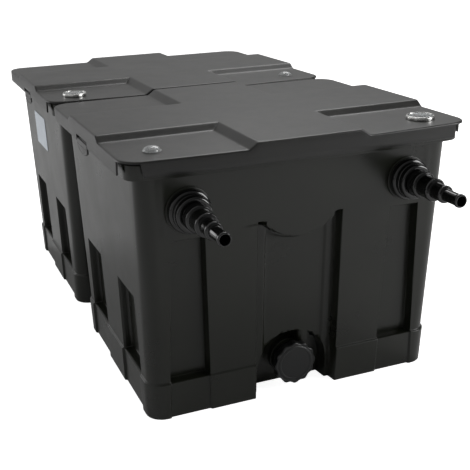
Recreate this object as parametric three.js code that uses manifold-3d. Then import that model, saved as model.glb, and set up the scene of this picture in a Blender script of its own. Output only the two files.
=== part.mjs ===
// A two-chamber pond box filter: two tapered boxes in line, each with a lift-off lid.
// Units are millimetres, +Z is up, +X runs along the front face and +Y points to the rear.
// The origin lies on the ground under the middle of the whole filter.

import * as THREE from 'three';
import { mergeVertices } from 'three/addons/utils/BufferGeometryUtils.js';
import Module from 'manifold-3d';

const wasm = await Module();
wasm.setup();

// Driving dimensions -----------------------------------------------------------------------

const FIT = 0.3;                // gap kept between touching pieces
const ROUND = 12;               // sides of a turned piece

const LID_WIDTH = 600;
const LID_DEPTH = 496;
const LID_Z = 454;              // low face of the lid above the ground
const LID_BOW = 10;             // how far the front edge bows forward
const LID_CORNER = 35;
const LID_PLATE = 4;
const SKIRT_DEPTH = 25;
const SKIRT_WALL = 3;
const RIB_RISE = 10;            // height of the raised cross on the lid
const RIB_HALF = 90;            // half width of the cross's top face
const RIB_SLOPE = 14;           // plan width of its sloped sides
const NOTCH_WIDTH = 29;         // finger notch at each front corner of the skirt
const NOTCH_LENGTH = 32;

const BOX_PITCH = 513;          // from one box's front edge to the next one's
const BODY_INSET_X = 38.6;      // lid edge to body at the ground
const BODY_INSET_Y = 46;
const TAPER_X = 13.3 / 434;     // outward lean of the walls
const TAPER_Y = 26 / 434;
const BODY_CORNER = 26;
const WALL = 4;
const PLINTH_HEIGHT = 66;
const PLINTH_PROUD = 6;

const RIM_TOP = 446;
const RIM_PLATE = 5;
const RIM_DEPTH = 24;
const RIM_INSET = 10;           // lid edge to rim edge

const RECESS_DEPTH = 16;
const SIDE_RECESS = { offset: 105, halfTop: 47, halfBottom: 54, top: 204 };
const END_RECESS = { offset: 194, halfTop: 26.5, halfBottom: 35.5, top: 314 };
const PANEL = { half: 75, top: 324, depth: 17 };
const CHANNEL = { half: 55, depth: 20 };
const POCKET = { radius: 65, z: 40, depth: 44, webLeft: 12, webRight: 34 };
const BULGE = { radius: 87, z: 377 };

const INLET = { x: 194, z: 364, hole: 24.3, boss: 37, outer: 20, inner: 31 };
const DRAIN = { z: 50, hole: 27.3, boss: 34, outer: 75, inner: 96 };
const TRANSFER = { x: 120, z: 110, hole: 30, boss: 38, outer: 36, inner: 50 };
const OUTLET = { z: 364, hole: 38, boss: 50, outer: 20, inner: 33, reach: 40 };

const CLIP_HALF = 36.4;         // half length of a side clip
const CLIP_PIVOT = { x: 294.5, z: 433 };
const CLIP_BOTTOM = 410;

const GAUGE = { x: 237, y: 54, radius: 24 };
const DOME = { radius: 15, rise: 8.5, tube: 8.7 };

const GRID = { halfX: 242, y0: 70, y1: 426, z0: 150, z1: 156, columns: 4, rows: 3, bar: 8, leg: 9 };
const PAD = { halfX: 238, y0: 74, y1: 422, height: 49.7 };
const BASKET = { halfX: 236, y0: 76, y1: 420, height: 134, wall: 3 };

const NOZZLE_REACH = 124;       // nozzle tips stand this far in front of the lid edge
const FRONT_Y = (NOZZLE_REACH - BOX_PITCH - LID_DEPTH - OUTLET.reach) / 2;
const REAR_Y = FRONT_Y + BOX_PITCH;

// Colours and finishes ---------------------------------------------------------------------

const finish = (color, roughness, metalness = 0) =>
  new THREE.MeshStandardMaterial({ color, roughness, metalness });

const FINISHES = {
  tank: finish(0x2b2b28, 0.5),
  lid: finish(0x6b6b69, 0.45),
  clip: finish(0x4a4a48, 0.5),
  fitting: finish(0x121212, 0.2),
  cap: finish(0x3a3a3a, 0.4),
  rubber: finish(0x151515, 0.85),
  silver: finish(0xd8d8d6, 0.3, 0.8),
  steel: finish(0xb4b6b8, 0.3, 1),
  lens: finish(0xdfe6e8, 0.08),
  needle: finish(0xc0281e, 0.4),
  grid: finish(0x26282a, 0.55),
  coarse_foam: finish(0x2f5f9e, 0.95),
  medium_foam: finish(0xb23a2e, 0.95),
  fine_foam: finish(0x2f7d4b, 0.95),
  media: finish(0x3f4a52, 0.7),
  label: finish(0xd5dde6, 0.4),
};

// Solid helpers ----------------------------------------------------------------------------

function toSolid(geometry) {
  const bare = geometry.clone();
  bare.deleteAttribute('normal');
  bare.deleteAttribute('uv');
  const merged = mergeVertices(bare, 1e-4);
  const points = merged.attributes.position.array;
  const index = merged.index.array;
  const corners = [];
  let volume = 0;
  const a = new THREE.Vector3();
  const b = new THREE.Vector3();
  const c = new THREE.Vector3();
  for (let i = 0; i < index.length; i += 3) {
    const [p, q, r] = [index[i], index[i + 1], index[i + 2]];
    if (p === q || q === r || r === p) continue;
    corners.push(p, q, r);
    a.fromArray(points, 3 * p);
    b.fromArray(points, 3 * q);
    c.fromArray(points, 3 * r);
    volume += a.dot(b.cross(c));
  }
  if (volume < 0) {
    for (let i = 0; i < corners.length; i += 3) {
      [corners[i], corners[i + 1]] = [corners[i + 1], corners[i]];
    }
  }
  return new wasm.Manifold(new wasm.Mesh({
    numProp: 3,
    vertProperties: new Float32Array(points),
    triVerts: new Uint32Array(corners),
  }));
}

function toGeometry(solid) {
  const mesh = solid.getMesh();
  const geometry = new THREE.BufferGeometry();
  geometry.setAttribute('position', new THREE.BufferAttribute(mesh.vertProperties, 3));
  geometry.setIndex(new THREE.BufferAttribute(mesh.triVerts, 1));
  geometry.computeVertexNormals();
  return geometry;
}

const union = (...solids) => solids.reduce((sum, solid) => sum.add(solid));

const cut = (solid, ...tools) => tools.reduce((rest, tool) => rest.subtract(tool), solid);

function box(x0, x1, y0, y1, z0, z1) {
  const geometry = new THREE.BoxGeometry(x1 - x0, y1 - y0, z1 - z0);
  geometry.translate((x0 + x1) / 2, (y0 + y1) / 2, (z0 + z1) / 2);
  return toSolid(geometry);
}

function prismZ(shape, z0, z1, curveSegments = 3) {
  const geometry = new THREE.ExtrudeGeometry(shape, { depth: z1 - z0, bevelEnabled: false, curveSegments });
  geometry.translate(0, 0, z0);
  return geometry;
}

// An outline in X and Z, drawn out along Y.
function prismY(shape, y0, y1, curveSegments = 3) {
  const geometry = prismZ(shape, -y1, -y0, curveSegments);
  geometry.rotateX(Math.PI / 2);
  return toSolid(geometry);
}

// An outline in Y and Z, drawn out along X.
function prismX(shape, x0, x1, curveSegments = 3) {
  const geometry = prismZ(shape, x0, x1, curveSegments);
  geometry.rotateZ(Math.PI / 2);
  geometry.rotateY(Math.PI / 2);
  return toSolid(geometry);
}

function polygon(points) {
  return new THREE.Shape(points.map(([u, v]) => new THREE.Vector2(u, v)));
}

function disc(radius, u = 0, v = 0) {
  const shape = new THREE.Shape();
  shape.absarc(u, v, radius, 0, 2 * Math.PI);
  return shape;
}

// A closed outline of [radius, height] points, turned about the Y axis.
function turnedY(profile, x = 0, z = 0, segments = ROUND) {
  const points = [...profile, profile[0]].map(([r, h]) => new THREE.Vector2(r, h));
  const geometry = new THREE.LatheGeometry(points, segments);
  geometry.translate(x, 0, z);
  return toSolid(geometry);
}

// The same outline, turned about the Z axis.
function turnedZ(profile, x = 0, y = 0, segments = ROUND) {
  const points = [...profile, profile[0]].map(([r, h]) => new THREE.Vector2(r, h));
  const geometry = new THREE.LatheGeometry(points, segments);
  geometry.rotateX(Math.PI / 2);
  geometry.translate(x, y, 0);
  return toSolid(geometry);
}

const ringY = (inner, outer, y0, y1, x, z) =>
  turnedY([[inner, y0], [outer, y0], [outer, y1], [inner, y1]], x, z);

const rodY = (radius, y0, y1, x, z, segments = ROUND) =>
  turnedY([[0, y0], [radius, y0], [radius, y1], [0, y1]], x, z, segments);

const rodZ = (radius, z0, z1, x, y, segments = ROUND) =>
  turnedZ([[0, z0], [radius, z0], [radius, z1], [0, z1]], x, y, segments);

// Turns a front fitting into the same fitting on the rear wall of a box.
const toRearWall = (solid) => solid.scale([1, -1, 1]).translate([0, LID_DEPTH, 0]);

// Placing pieces ---------------------------------------------------------------------------

const filter = new THREE.Group();
const frontBox = new THREE.Group();
const rearBox = new THREE.Group();
frontBox.position.y = FRONT_Y;
rearBox.position.y = REAR_Y;
filter.add(frontBox, rearBox);

function place(parent, name, slot, solid) {
  const mesh = new THREE.Mesh(toGeometry(solid), FINISHES[slot]);
  mesh.name = name;
  parent.add(mesh);
  return mesh;
}

// Outlines ---------------------------------------------------------------------------------

// The lid's plan: rounded corners and a front edge that bows forward.
function lidPlan(inset) {
  const half = LID_WIDTH / 2 - inset;
  const front = inset;
  const rear = LID_DEPTH - inset;
  const r = LID_CORNER - inset;
  const shape = new THREE.Shape();
  shape.moveTo(-half + r, front);
  shape.quadraticCurveTo(0, front - 2 * LID_BOW, half - r, front);
  shape.absarc(half - r, front + r, r, -Math.PI / 2, 0);
  shape.absarc(half - r, rear - r, r, 0, Math.PI / 2);
  shape.absarc(-half + r, rear - r, r, Math.PI / 2, Math.PI);
  shape.absarc(-half + r, front + r, r, Math.PI, 1.5 * Math.PI);
  return shape;
}

// The box body between two heights, inset from its outer face, with leaning walls.
function bodySolid(inset, z0, z1) {
  const halfX = LID_WIDTH / 2 - BODY_INSET_X - inset;
  const halfY = LID_DEPTH / 2 - BODY_INSET_Y - inset;
  const r = Math.max(BODY_CORNER - inset, 6);
  const shape = new THREE.Shape();
  shape.absarc(halfX - r, -halfY + r, r, -Math.PI / 2, 0);
  shape.absarc(halfX - r, halfY - r, r, 0, Math.PI / 2);
  shape.absarc(-halfX + r, halfY - r, r, Math.PI / 2, Math.PI);
  shape.absarc(-halfX + r, -halfY + r, r, Math.PI, 1.5 * Math.PI);
  const geometry = prismZ(shape, z0, z1, 2);
  const point = geometry.attributes.position;
  for (let i = 0; i < point.count; i += 1) {
    const z = point.getZ(i);
    point.setX(i, point.getX(i) + Math.sign(point.getX(i)) * TAPER_X * z);
    point.setY(i, point.getY(i) + Math.sign(point.getY(i)) * TAPER_Y * z);
  }
  geometry.translate(0, LID_DEPTH / 2, 0);
  return toSolid(geometry);
}

// A recess outline that widens towards the ground.
function recessOutline(centre, recess, grow, z0) {
  const top = recess.top + grow;
  const slope = (recess.halfBottom - recess.halfTop) / recess.top;
  const halfTop = recess.halfTop + grow;
  const halfLow = halfTop + slope * (top - z0);
  return polygon([
    [centre - halfLow, z0],
    [centre + halfLow, z0],
    [centre + halfTop, top],
    [centre - halfTop, top],
  ]);
}

const THROUGH = 900;            // long enough to pass through a whole box

// Side and end recesses, from both sides at once.
function recessTools(grow, z0) {
  const tools = [];
  for (const sign of [-1, 1]) {
    const y = LID_DEPTH / 2 + sign * SIDE_RECESS.offset;
    tools.push(prismX(recessOutline(y, SIDE_RECESS, grow, z0), -THROUGH, THROUGH));
    const x = sign * END_RECESS.offset;
    tools.push(prismY(recessOutline(x, END_RECESS, grow, z0), -THROUGH, THROUGH));
  }
  return union(...tools);
}

// The middle panel recess under the round bulge.
function panelTool(grow) {
  const half = PANEL.half + grow;
  const panel = polygon([[-half, -1], [half, -1], [half, PANEL.top + grow], [-half, PANEL.top + grow]]);
  return cut(prismY(panel, -THROUGH, THROUGH), bulgeTool(-grow));
}

const bulgeTool = (grow) => prismY(disc(BULGE.radius + grow, 0, BULGE.z), -THROUGH, THROUGH, 11);

// The slightly deeper channel inside it.
function channelTool(grow) {
  const half = CHANNEL.half + grow;
  const channel = polygon([[-half, -1], [half, -1], [half, BULGE.z], [-half, BULGE.z]]);
  return cut(prismY(channel, -THROUGH, THROUGH), bulgeTool(6 - grow));
}

// The arched pocket around the drain.
function pocketTool(grow) {
  const half = POCKET.radius + grow;
  const feet = polygon([[-half, -1], [half, -1], [half, POCKET.z], [-half, POCKET.z]]);
  const arch = disc(half, 0, POCKET.z);
  return union(prismY(feet, -THROUGH, THROUGH), prismY(arch, -THROUGH, THROUGH, 8));
}

// The web that joins the drain boss to the top of the pocket.
function webSolid() {
  const top = POCKET.z + POCKET.radius;
  const block = box(POCKET.webLeft, POCKET.webRight, 40, 86, DRAIN.z + 26, top);
  return block.intersect(bodySolid(CHANNEL.depth, 0, RIM_TOP));
}

// Tanks ------------------------------------------------------------------------------------

function rimSolid() {
  const plate = toSolid(prismZ(lidPlan(RIM_INSET), RIM_TOP - RIM_PLATE, RIM_TOP));
  const lipOuter = toSolid(prismZ(lidPlan(RIM_INSET), RIM_TOP - RIM_DEPTH, RIM_TOP - 1));
  const lipInner = toSolid(prismZ(lidPlan(RIM_INSET + 3), RIM_TOP - RIM_DEPTH - 1, RIM_TOP));
  return union(plate, cut(lipOuter, lipInner));
}

function tankSolid(bosses, holes) {
  const everywhere = [-5, RIM_TOP + 5];
  const outer = union(
    bodySolid(0, 0, RIM_TOP),
    bodySolid(-PLINTH_PROUD, 0, PLINTH_HEIGHT),
    rimSolid(),
  );
  const shaped = cut(
    outer,
    cut(recessTools(0, PLINTH_HEIGHT), bodySolid(RECESS_DEPTH, ...everywhere)),
    cut(recessTools(0, -1), bodySolid(0, ...everywhere)),
    cut(panelTool(0), bodySolid(PANEL.depth, ...everywhere)),
    cut(channelTool(0), bodySolid(CHANNEL.depth, ...everywhere)),
    cut(pocketTool(0), bodySolid(POCKET.depth, ...everywhere)),
  );
  const cavity = cut(
    bodySolid(WALL, WALL, RIM_TOP + 5),
    cut(recessTools(WALL, PLINTH_HEIGHT - WALL), bodySolid(RECESS_DEPTH + WALL, ...everywhere)),
    cut(panelTool(WALL), bodySolid(PANEL.depth + WALL, ...everywhere)),
    cut(channelTool(WALL), bodySolid(CHANNEL.depth + WALL, ...everywhere)),
    cut(pocketTool(WALL), bodySolid(POCKET.depth + WALL, ...everywhere)),
  );
  return cut(union(cut(shaped, cavity), ...bosses), ...holes);
}

// A flat seat around a fitting, and the hole through it.
const boss = (port, x) => rodY(port.boss, port.outer, port.inner, x, port.z);
const hole = (port, x) => rodY(port.hole, port.outer - 30, port.inner + 30, x, port.z);

function addTanks() {
  const inlets = [-INLET.x, INLET.x];
  const transfers = [-TRANSFER.x, TRANSFER.x];
  place(frontBox, 'front_tank', 'tank', tankSolid(
    [
      ...inlets.map((x) => boss(INLET, x)),
      ...transfers.map((x) => toRearWall(boss(TRANSFER, x))),
      boss(DRAIN, 0),
      webSolid(),
    ],
    [
      ...inlets.map((x) => hole(INLET, x)),
      ...transfers.map((x) => toRearWall(hole(TRANSFER, x))),
      hole(DRAIN, 0),
    ],
  ));
  place(rearBox, 'rear_tank', 'tank', tankSolid(
    [
      ...transfers.map((x) => boss(TRANSFER, x)),
      toRearWall(boss(OUTLET, 0)),
      toRearWall(boss(DRAIN, 0)),
      toRearWall(webSolid()),
    ],
    [
      ...transfers.map((x) => hole(TRANSFER, x)),
      toRearWall(hole(OUTLET, 0)),
      toRearWall(hole(DRAIN, 0)),
    ],
  ));
}

// Lids -------------------------------------------------------------------------------------

// The raised cross: two bands with sloped sides, lowered and narrowed for the inside.
function crossSolid(lower, shrink) {
  const base = LID_Z - lower;
  const wide = RIB_HALF + RIB_SLOPE - shrink;
  const narrow = RIB_HALF - shrink;
  const band = (centre) => polygon([
    [centre - wide, base - 1],
    [centre + wide, base - 1],
    [centre + wide, base],
    [centre + narrow, base + RIB_RISE],
    [centre - narrow, base + RIB_RISE],
    [centre - wide, base],
  ]);
  return union(
    prismY(band(0), -THROUGH, THROUGH),
    prismX(band(LID_DEPTH / 2 - 5), -THROUGH, THROUGH),
  );
}

function lidSolid(gaugeX) {
  const top = LID_Z + RIB_RISE + 1;
  const plan = (inset, z0, z1) => toSolid(prismZ(lidPlan(inset), z0, z1));
  const low = LID_Z - SKIRT_DEPTH;
  const outer = union(plan(0, low, LID_Z), crossSolid(0, 0).intersect(plan(0, low, top)));
  const inner = union(
    plan(SKIRT_WALL, low - 1, LID_Z - LID_PLATE),
    crossSolid(LID_PLATE, LID_PLATE).intersect(plan(SKIRT_WALL, low, top)),
  );
  const half = LID_WIDTH / 2;
  const middle = LID_DEPTH / 2;
  const slot = CLIP_HALF + 1;
  const pieces = [cut(outer, inner)];
  const tools = [
    rodZ(5 + FIT, LID_Z - 10, LID_Z + 5, gaugeX, GAUGE.y),
    rodZ(DOME.tube + FIT, LID_Z - 10, LID_Z + 5, -gaugeX, GAUGE.y),
  ];
  for (const side of [-1, 1]) {
    const span = (a, b) => (side < 0 ? [-b, -a] : [a, b]);
    tools.push(
      box(...span(half - SKIRT_WALL - 1, half + 1), middle - slot, middle + slot, low - 1, LID_Z - 14.5),
      box(...span(half - NOTCH_WIDTH, half + 1), -2 * LID_BOW, NOTCH_LENGTH, low - 1, LID_Z - LID_PLATE),
    );
    for (const end of [-1, 1]) {
      const [y0, y1] = [middle + end * slot, middle + end * (slot + 6)].sort((p, q) => p - q);
      const lug = box(...span(half - 8.5, half - 2.5), y0, y1, low + 0.5, LID_Z - LID_PLATE + 0.5);
      pieces.push(lug);
    }
    const pinEnd = slot + 4;
    tools.push(rodY(1.8, middle - pinEnd, middle + pinEnd, side * CLIP_PIVOT.x, CLIP_PIVOT.z, 8));
  }
  return cut(union(...pieces), ...tools);
}

function sealSolid() {
  const z0 = RIM_TOP + FIT;
  const z1 = LID_Z - LID_PLATE - FIT;
  const outer = toSolid(prismZ(lidPlan(RIM_INSET + 1), z0, z1, 2));
  const inner = toSolid(prismZ(lidPlan(RIM_INSET + 9), z0 - 1, z1 + 1, 2));
  return cut(outer, inner);
}

// A side clip: a plate with a rounded lower edge, a snap bead and a hinge knuckle.
function clipSolid(side) {
  const middle = LID_DEPTH / 2;
  const outline = new THREE.Shape();
  outline.moveTo(middle - CLIP_HALF, CLIP_PIVOT.z + 1);
  outline.lineTo(middle - CLIP_HALF, CLIP_BOTTOM + 9);
  outline.quadraticCurveTo(middle, CLIP_BOTTOM - 9, middle + CLIP_HALF, CLIP_BOTTOM + 9);
  outline.lineTo(middle + CLIP_HALF, CLIP_PIVOT.z + 1);
  const face = LID_WIDTH / 2;
  const span = (a, b) => (side < 0 ? [-b, -a] : [a, b]);
  const [y0, y1] = [middle - CLIP_HALF, middle + CLIP_HALF];
  const plate = prismX(outline, ...span(face - 3, face), 6);
  const web = box(...span(CLIP_PIVOT.x, face - 2.8), y0, y1, CLIP_PIVOT.z - 2.4, CLIP_PIVOT.z + 1);
  const bead = box(...span(face - 9.2, face - 2.8), y0 + 10, y1 - 10, CLIP_PIVOT.z - 9, CLIP_PIVOT.z - 6);
  const knuckle = rodY(2.8, y0, y1, side * CLIP_PIVOT.x, CLIP_PIVOT.z, 8);
  const bore = rodY(1.8, y0 - 1, y1 + 1, side * CLIP_PIVOT.x, CLIP_PIVOT.z, 8);
  return cut(union(plate, web, bead, knuckle), bore);
}

function clipPinSolid(side) {
  const middle = LID_DEPTH / 2;
  const reach = CLIP_HALF + 4.5;
  return rodY(1.5, middle - reach, middle + reach, side * CLIP_PIVOT.x, CLIP_PIVOT.z, 8);
}

// Thermometer: a silver case on a probe stem, a needle on its hub pin and a clear lens.
function gaugeCaseSolid(x) {
  const base = LID_Z + FIT;
  return turnedZ([
    [0, LID_Z - 66], [5, LID_Z - 66], [5, base], [GAUGE.radius, base],
    [GAUGE.radius, base + 4.7], [GAUGE.radius - 1.2, base + 6.2], [21, base + 6.2], [21, base + 4.2],
    [19.5, base + 4.2], [19.5, base + 1.7], [1.2, base + 1.7], [1.2, base + 3.5], [0, base + 3.5],
  ], x, GAUGE.y);
}

function needleSolid(x) {
  const z0 = LID_Z + FIT + 2.1;
  const z1 = z0 + 0.8;
  const [tail, tip] = [GAUGE.y - 5, GAUGE.y + 17];
  const pointer = polygon([[x - 1.2, tail], [x + 1.2, tail], [x + 0.3, tip], [x - 0.3, tip]]);
  const hub = rodZ(3, z0, z1, x, GAUGE.y, 12);
  const bore = rodZ(1.5, z0 - 1, z1 + 1, x, GAUGE.y, 10);
  return cut(union(toSolid(prismZ(pointer, z0, z1)), hub), bore);
}

const lensSolid = (x) => rodZ(20.7, LID_Z + FIT + 4.5, LID_Z + FIT + 5.9, x, GAUGE.y);

// Sight dome: a clear cap on a short tube that cages a float ball.
function domeSolid(x) {
  const base = LID_Z + FIT;
  const outer = [];
  const inner = [];
  const steps = 3;
  for (let i = 0; i <= steps; i += 1) {
    const turn = (i / steps) * (Math.PI / 2);
    outer.push([(DOME.radius - 1.5) * Math.cos(turn), base + 1 + (DOME.rise - 1) * Math.sin(turn)]);
    inner.push([(DOME.radius - 3) * Math.sin(turn), base + 1 + (DOME.rise - 2.3) * Math.cos(turn)]);
  }
  outer[steps][0] = 0;
  inner[0][0] = 0;
  const tubeInner = DOME.tube - 1.5;
  const foot = LID_Z - 24;
  return turnedZ([
    ...outer, ...inner, [tubeInner, base + 1], [tubeInner, foot + 1.5], [4, foot + 1.5], [4, foot],
    [DOME.tube, foot], [DOME.tube, base], [DOME.radius, base], [DOME.radius, base + 1],
  ], x, GAUGE.y);
}

function floatSolid(x) {
  const geometry = new THREE.SphereGeometry(6.3, 12, 8);
  geometry.rotateX(Math.PI / 2);
  geometry.translate(x, GAUGE.y, LID_Z - 16);
  return toSolid(geometry);
}

function addLid(parent, name, gaugeSide) {
  const gaugeX = gaugeSide * GAUGE.x;
  place(parent, `${name}_lid`, 'lid', lidSolid(gaugeX));
  place(parent, `${name}_lid_seal`, 'rubber', sealSolid());
  for (const [side, word] of [[-1, 'left'], [1, 'right']]) {
    place(parent, `${name}_clip_${word}`, 'clip', clipSolid(side));
    place(parent, `${name}_clip_pin_${word}`, 'steel', clipPinSolid(side));
  }
  place(parent, `${name}_thermometer_case`, 'silver', gaugeCaseSolid(gaugeX));
  place(parent, `${name}_thermometer_needle`, 'needle', needleSolid(gaugeX));
  place(parent, `${name}_thermometer_lens`, 'lens', lensSolid(gaugeX));
  place(parent, `${name}_sight_dome`, 'lens', domeSolid(-gaugeX));
  place(parent, `${name}_sight_float`, 'needle', floatSolid(-gaugeX));
}

// Inlets: bulkhead tube, gasket, locknut, union nut and stepped hose nozzle -----------------

const TUBE = { bore: 20, radius: 24, flange: 34, flangeThick: 4, neck: 21.2 };
const UNION = { tip: -9, lip: -5.3, mouth: 7.1, radius: 30.5, bore: 25.4, lipBore: 22.3 };
const LOCKNUT = { radius: 35, front: 7.4, rear: 17.4, bevel: 2 };

function bulkheadSolid(x) {
  const flange = INLET.inner + FIT;
  const rear = flange + TUBE.flangeThick;
  return turnedY([
    [TUBE.bore, -1], [TUBE.radius, -1], [TUBE.radius, flange],
    [TUBE.flange, flange], [TUBE.flange, rear], [TUBE.bore, rear],
  ], x, INLET.z);
}

function unionNutSolid(x) {
  return turnedY([
    [UNION.lipBore, UNION.tip], [UNION.radius - 3, UNION.tip], [UNION.radius, UNION.tip + 4],
    [UNION.radius, UNION.mouth], [UNION.bore, UNION.mouth], [UNION.bore, UNION.lip],
    [UNION.lipBore, UNION.lip],
  ], x, INLET.z);
}

// Four hose steps, each a barb that tapers back from its lip.
const HOSE_STEPS = [
  { end: -29, radius: 22, bore: 18 },
  { end: -59, radius: 19, bore: 15.4 },
  { end: -86, radius: 14.4, bore: 11.4 },
  { end: -NOZZLE_REACH, radius: 11, bore: 8.2 },
];

function nozzleSolid(x) {
  const outline = [[TUBE.radius, -1.3], [TUBE.radius, -5], [TUBE.neck, -5], [TUBE.neck, -11]];
  let start = -11;
  for (const { end, radius } of HOSE_STEPS) {
    outline.push([radius - 0.9, start - 1.5], [radius, end + 3], [radius - 0.8, end]);
    start = end;
  }
  const bore = [];
  let rear = -1.3;
  for (const step of HOSE_STEPS) {
    const front = step.end === -NOZZLE_REACH ? step.end : step.end + 3;
    bore.unshift([step.bore, front], [step.bore, rear]);
    rear = front - 3;
  }
  return turnedY([...outline, ...bore], x, INLET.z);
}

function addInlet(word, x) {
  const seat = INLET.outer - FIT;
  const bore = TUBE.radius + FIT;
  const gasket = ringY(bore, TUBE.flange, seat - 2, seat, x, INLET.z);
  place(frontBox, `inlet_bulkhead_${word}`, 'fitting', bulkheadSolid(x));
  place(frontBox, `inlet_gasket_${word}`, 'rubber', gasket);
  place(frontBox, `inlet_locknut_${word}`, 'fitting', turnedY([
    [bore, LOCKNUT.front], [LOCKNUT.radius - 1.5, LOCKNUT.front],
    [LOCKNUT.radius, LOCKNUT.front + LOCKNUT.bevel], [LOCKNUT.radius, LOCKNUT.rear],
    [bore, LOCKNUT.rear],
  ], x, INLET.z));
  place(frontBox, `inlet_union_nut_${word}`, 'fitting', unionNutSolid(x));
  place(frontBox, `hose_nozzle_${word}`, 'fitting', nozzleSolid(x));
}

// Drains: port tube, seal washer and lobed screw cap ----------------------------------------

const CAP = { front: 44, floor: 48, rear: 60, bore: 28.4, radius: 37.5, lobes: 12, lobeRise: 1.5 };
const PORT = { front: 51.5, bore: 22, radius: 27, flange: 33, flangeThick: 4 };

function lobedDisc(radius, rise, lobes) {
  const points = [];
  const count = lobes * 2;
  for (let i = 0; i < count; i += 1) {
    const turn = (2 * Math.PI * i) / count;
    const r = radius + rise * Math.cos(lobes * turn);
    points.push([r * Math.cos(turn), DRAIN.z + r * Math.sin(turn)]);
  }
  return polygon(points);
}

function drainCapSolid() {
  const body = prismY(lobedDisc(CAP.radius, CAP.lobeRise, CAP.lobes), CAP.front, CAP.rear);
  const bore = rodY(CAP.bore, CAP.floor, CAP.rear + 1, 0, DRAIN.z);
  const dish = turnedY([
    [25, CAP.front - 1], [33, CAP.front - 1], [31, CAP.front + 1.2], [27, CAP.front + 1.2],
  ], 0, DRAIN.z);
  return cut(body, bore, dish);
}

function drainPortSolid() {
  const flange = DRAIN.inner + FIT;
  const rear = flange + PORT.flangeThick;
  return turnedY([
    [PORT.bore, PORT.front], [PORT.radius, PORT.front], [PORT.radius, flange],
    [PORT.flange, flange], [PORT.flange, rear], [PORT.bore, rear],
  ], 0, DRAIN.z);
}

function addDrain(parent, name, turn) {
  place(parent, `${name}_drain_port`, 'fitting', turn(drainPortSolid()));
  const seal = ringY(PORT.bore, PORT.radius, CAP.floor + FIT, PORT.front - FIT, 0, DRAIN.z);
  place(parent, `${name}_drain_seal`, 'rubber', turn(seal));
  place(parent, `${name}_drain_cap`, 'cap', turn(drainCapSolid()));
}

// Transfer pipes between the boxes, in rubber grommets ---------------------------------------

const PIPE = { bore: 21.5, radius: 25, inside: 8 };

function grommetSolid(x) {
  const [out, inn] = [TRANSFER.outer - FIT, TRANSFER.inner + FIT];
  const [bore, waist, flange, thick] = [PIPE.radius + FIT, TRANSFER.hole - FIT, 35, 3];
  return turnedY([
    [bore, out - thick], [flange, out - thick], [flange, out], [waist, out],
    [waist, inn], [flange, inn], [flange, inn + thick], [bore, inn + thick],
  ], x, TRANSFER.z);
}

function addTransfers() {
  for (const [sign, word] of [[-1, 'left'], [1, 'right']]) {
    const x = sign * TRANSFER.x;
    const inside = TRANSFER.inner + PIPE.inside;
    const [start, end] = [LID_DEPTH - inside, BOX_PITCH + inside];
    const pipe = ringY(PIPE.bore, PIPE.radius, start, end, x, TRANSFER.z);
    place(frontBox, `transfer_pipe_${word}`, 'fitting', pipe);
    place(frontBox, `transfer_grommet_front_${word}`, 'rubber', toRearWall(grommetSolid(x)));
    place(rearBox, `transfer_grommet_rear_${word}`, 'rubber', grommetSolid(x));
  }
}

// Outlet spigot on the rear wall --------------------------------------------------------------

const SPIGOT = { bore: 34, radius: 37.5, flange: 46, flangeThick: 4, nut: 48 };

function addOutlet() {
  const inside = OUTLET.inner + FIT;
  const rear = inside + SPIGOT.flangeThick;
  const spigot = turnedY([
    [SPIGOT.bore, -OUTLET.reach], [SPIGOT.radius, -OUTLET.reach], [SPIGOT.radius, inside],
    [SPIGOT.flange, inside], [SPIGOT.flange, rear], [SPIGOT.bore, rear],
  ], 0, OUTLET.z);
  const seat = OUTLET.outer - FIT;
  const gasket = ringY(OUTLET.hole, SPIGOT.flange, seat - 2.5, seat, 0, OUTLET.z);
  const nut = ringY(OUTLET.hole, SPIGOT.nut, seat - 13, seat - 2.8, 0, OUTLET.z);
  place(rearBox, 'outlet_spigot', 'fitting', toRearWall(spigot));
  place(rearBox, 'outlet_gasket', 'rubber', toRearWall(gasket));
  place(rearBox, 'outlet_locknut', 'fitting', toRearWall(nut));
}

// Inside the chambers -----------------------------------------------------------------------

function gridSolid() {
  const plate = box(-GRID.halfX, GRID.halfX, GRID.y0, GRID.y1, GRID.z0, GRID.z1);
  const { columns, rows, bar, leg } = GRID;
  const pitchX = (2 * GRID.halfX - bar) / columns;
  const pitchY = (GRID.y1 - GRID.y0 - bar) / rows;
  const windows = [];
  for (let i = 0; i < columns; i += 1) {
    for (let j = 0; j < rows; j += 1) {
      const x = -GRID.halfX + bar + i * pitchX;
      const y = GRID.y0 + bar + j * pitchY;
      windows.push(box(x, x + pitchX - bar, y, y + pitchY - bar, GRID.z0 - 1, GRID.z1 + 1));
    }
  }
  const legs = [];
  const corner = GRID.halfX - 12;
  for (const [x, inset] of [[-corner, 12], [0, 60], [corner, 12]]) {
    for (const y of [GRID.y0 + inset, GRID.y1 - inset]) {
      legs.push(box(x - leg, x + leg, y - leg, y + leg, WALL + FIT, GRID.z0 + 1));
    }
  }
  return union(cut(plate, ...windows), ...legs);
}

function padSolid(z0, height) {
  return box(-PAD.halfX, PAD.halfX, PAD.y0, PAD.y1, z0, z0 + height);
}

function basketSolid() {
  const z0 = GRID.z1 + FIT;
  const z1 = z0 + BASKET.height;
  const { halfX, y0, y1, wall } = BASKET;
  const outer = box(-halfX, halfX, y0, y1, z0, z1);
  const inner = box(-halfX + wall, halfX - wall, y0 + wall, y1 - wall, z0 + wall, z1 + 1);
  const slots = [];
  const [slotFoot, slotTop] = [z0 + 20, z0 + 95];
  for (const x of [-172, -86, 0, 86, 172]) {
    slots.push(box(x - 28, x + 28, y0 - 1, y1 + 1, slotFoot, slotTop));
  }
  for (const y of [152, 248, 344]) {
    slots.push(box(-halfX - 1, halfX + 1, y - 30, y + 30, slotFoot, slotTop));
  }
  return cut(outer, inner, ...slots);
}

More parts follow.
